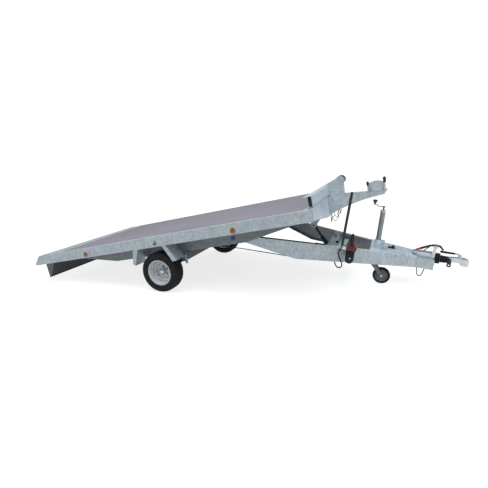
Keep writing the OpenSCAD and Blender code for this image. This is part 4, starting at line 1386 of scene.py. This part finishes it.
def jockey_axle_nuts(bm):
    for side in (-1, 1):
        bolt(bm, (TRAIL_U, JOCKEY_Y + side * 36, TRAIL_W), (0, side, 0), 11)


def plug_holder(bm):
    """The holder on the plate where the trailer's plug is parked."""
    low = arm_top(1795) + 5.8
    block(bm, (1755, -24, low), (1836, 24, low + 17), 4)
    turned(bm, [(0, 0), (19, 0), (20, 3), (20, 26), (17, 29), (12, 29), (12, 20), (0, 20)],
           (1800, 0, low + 16), (1, 0, 0.35), 28)


class TRAILER_OT_jockey(bpy.types.Operator):
    """Make the jockey wheel, its crank, its clamp's handle and the plug holder"""
    bl_idname = "trailer.jockey"
    bl_label = "Jockey wheel"

    def execute(self, context):
        fitted("crank", BAR, (crank_arm, "worn_zinc", "bright_zinc", "jockey_crank"),
               (crank_knob, "black_plastic"))
        fitted("drawbar", BAR, (tube_collar, "bright_zinc"), (clamp_handle, "bright_zinc"),
               (plug_holder, "black_plastic"))
        fitted("jockey_roller", BAR, (jockey_wheel_tyre, "jockey_tyre", None, "jockey_wheel"),
               (jockey_wheel_rim, "wheel_blue", "jockey_tyre"))
        fitted("jockey_leg", BAR, (jockey_axle_nuts, "bright_zinc"))
        return {"FINISHED"}


class TRAILER_PT_panel(bpy.types.Panel):
    """Trailer tools"""
    bl_idname = "TRAILER_PT_panel"
    bl_label = "Tilt trailer"
    bl_space_type = "VIEW_3D"
    bl_region_type = "UI"
    bl_category = "Trailer"

    def draw(self, context):
        layout = self.layout
        for settings in (context.scene.trailer_finish, context.scene.trailer_stage):
            box = layout.box()
            for key in settings.bl_rna.properties.keys():
                if key not in ("rna_type", "name"):
                    box.prop(settings, key)
        for operator in OPERATORS:
            layout.operator(operator.bl_idname)


OPERATORS = (TRAILER_OT_stage, TRAILER_OT_hose, TRAILER_OT_metalwork, TRAILER_OT_wheels,
             TRAILER_OT_deck_fittings, TRAILER_OT_deck_hardware, TRAILER_OT_pump,
             TRAILER_OT_coupling, TRAILER_OT_jockey)
SETTINGS = (("trailer_finish", TrailerFinish), ("trailer_stage", TrailerStage))


def register():
    for name, kind in SETTINGS:
        bpy.utils.register_class(kind)
        setattr(bpy.types.Scene, name, bpy.props.PointerProperty(type=kind))
    for kind in (*OPERATORS, TRAILER_PT_panel):
        bpy.utils.register_class(kind)


def unregister():
    for kind in (TRAILER_PT_panel, *reversed(OPERATORS)):
        bpy.utils.unregister_class(kind)
    for name, kind in reversed(SETTINGS):
        delattr(bpy.types.Scene, name)
        bpy.utils.unregister_class(kind)


def main():
    register()
    for operator in OPERATORS:
        group, name = operator.bl_idname.split(".")
        getattr(getattr(bpy.ops, group), name)()


if __name__ == "__main__":
    main()
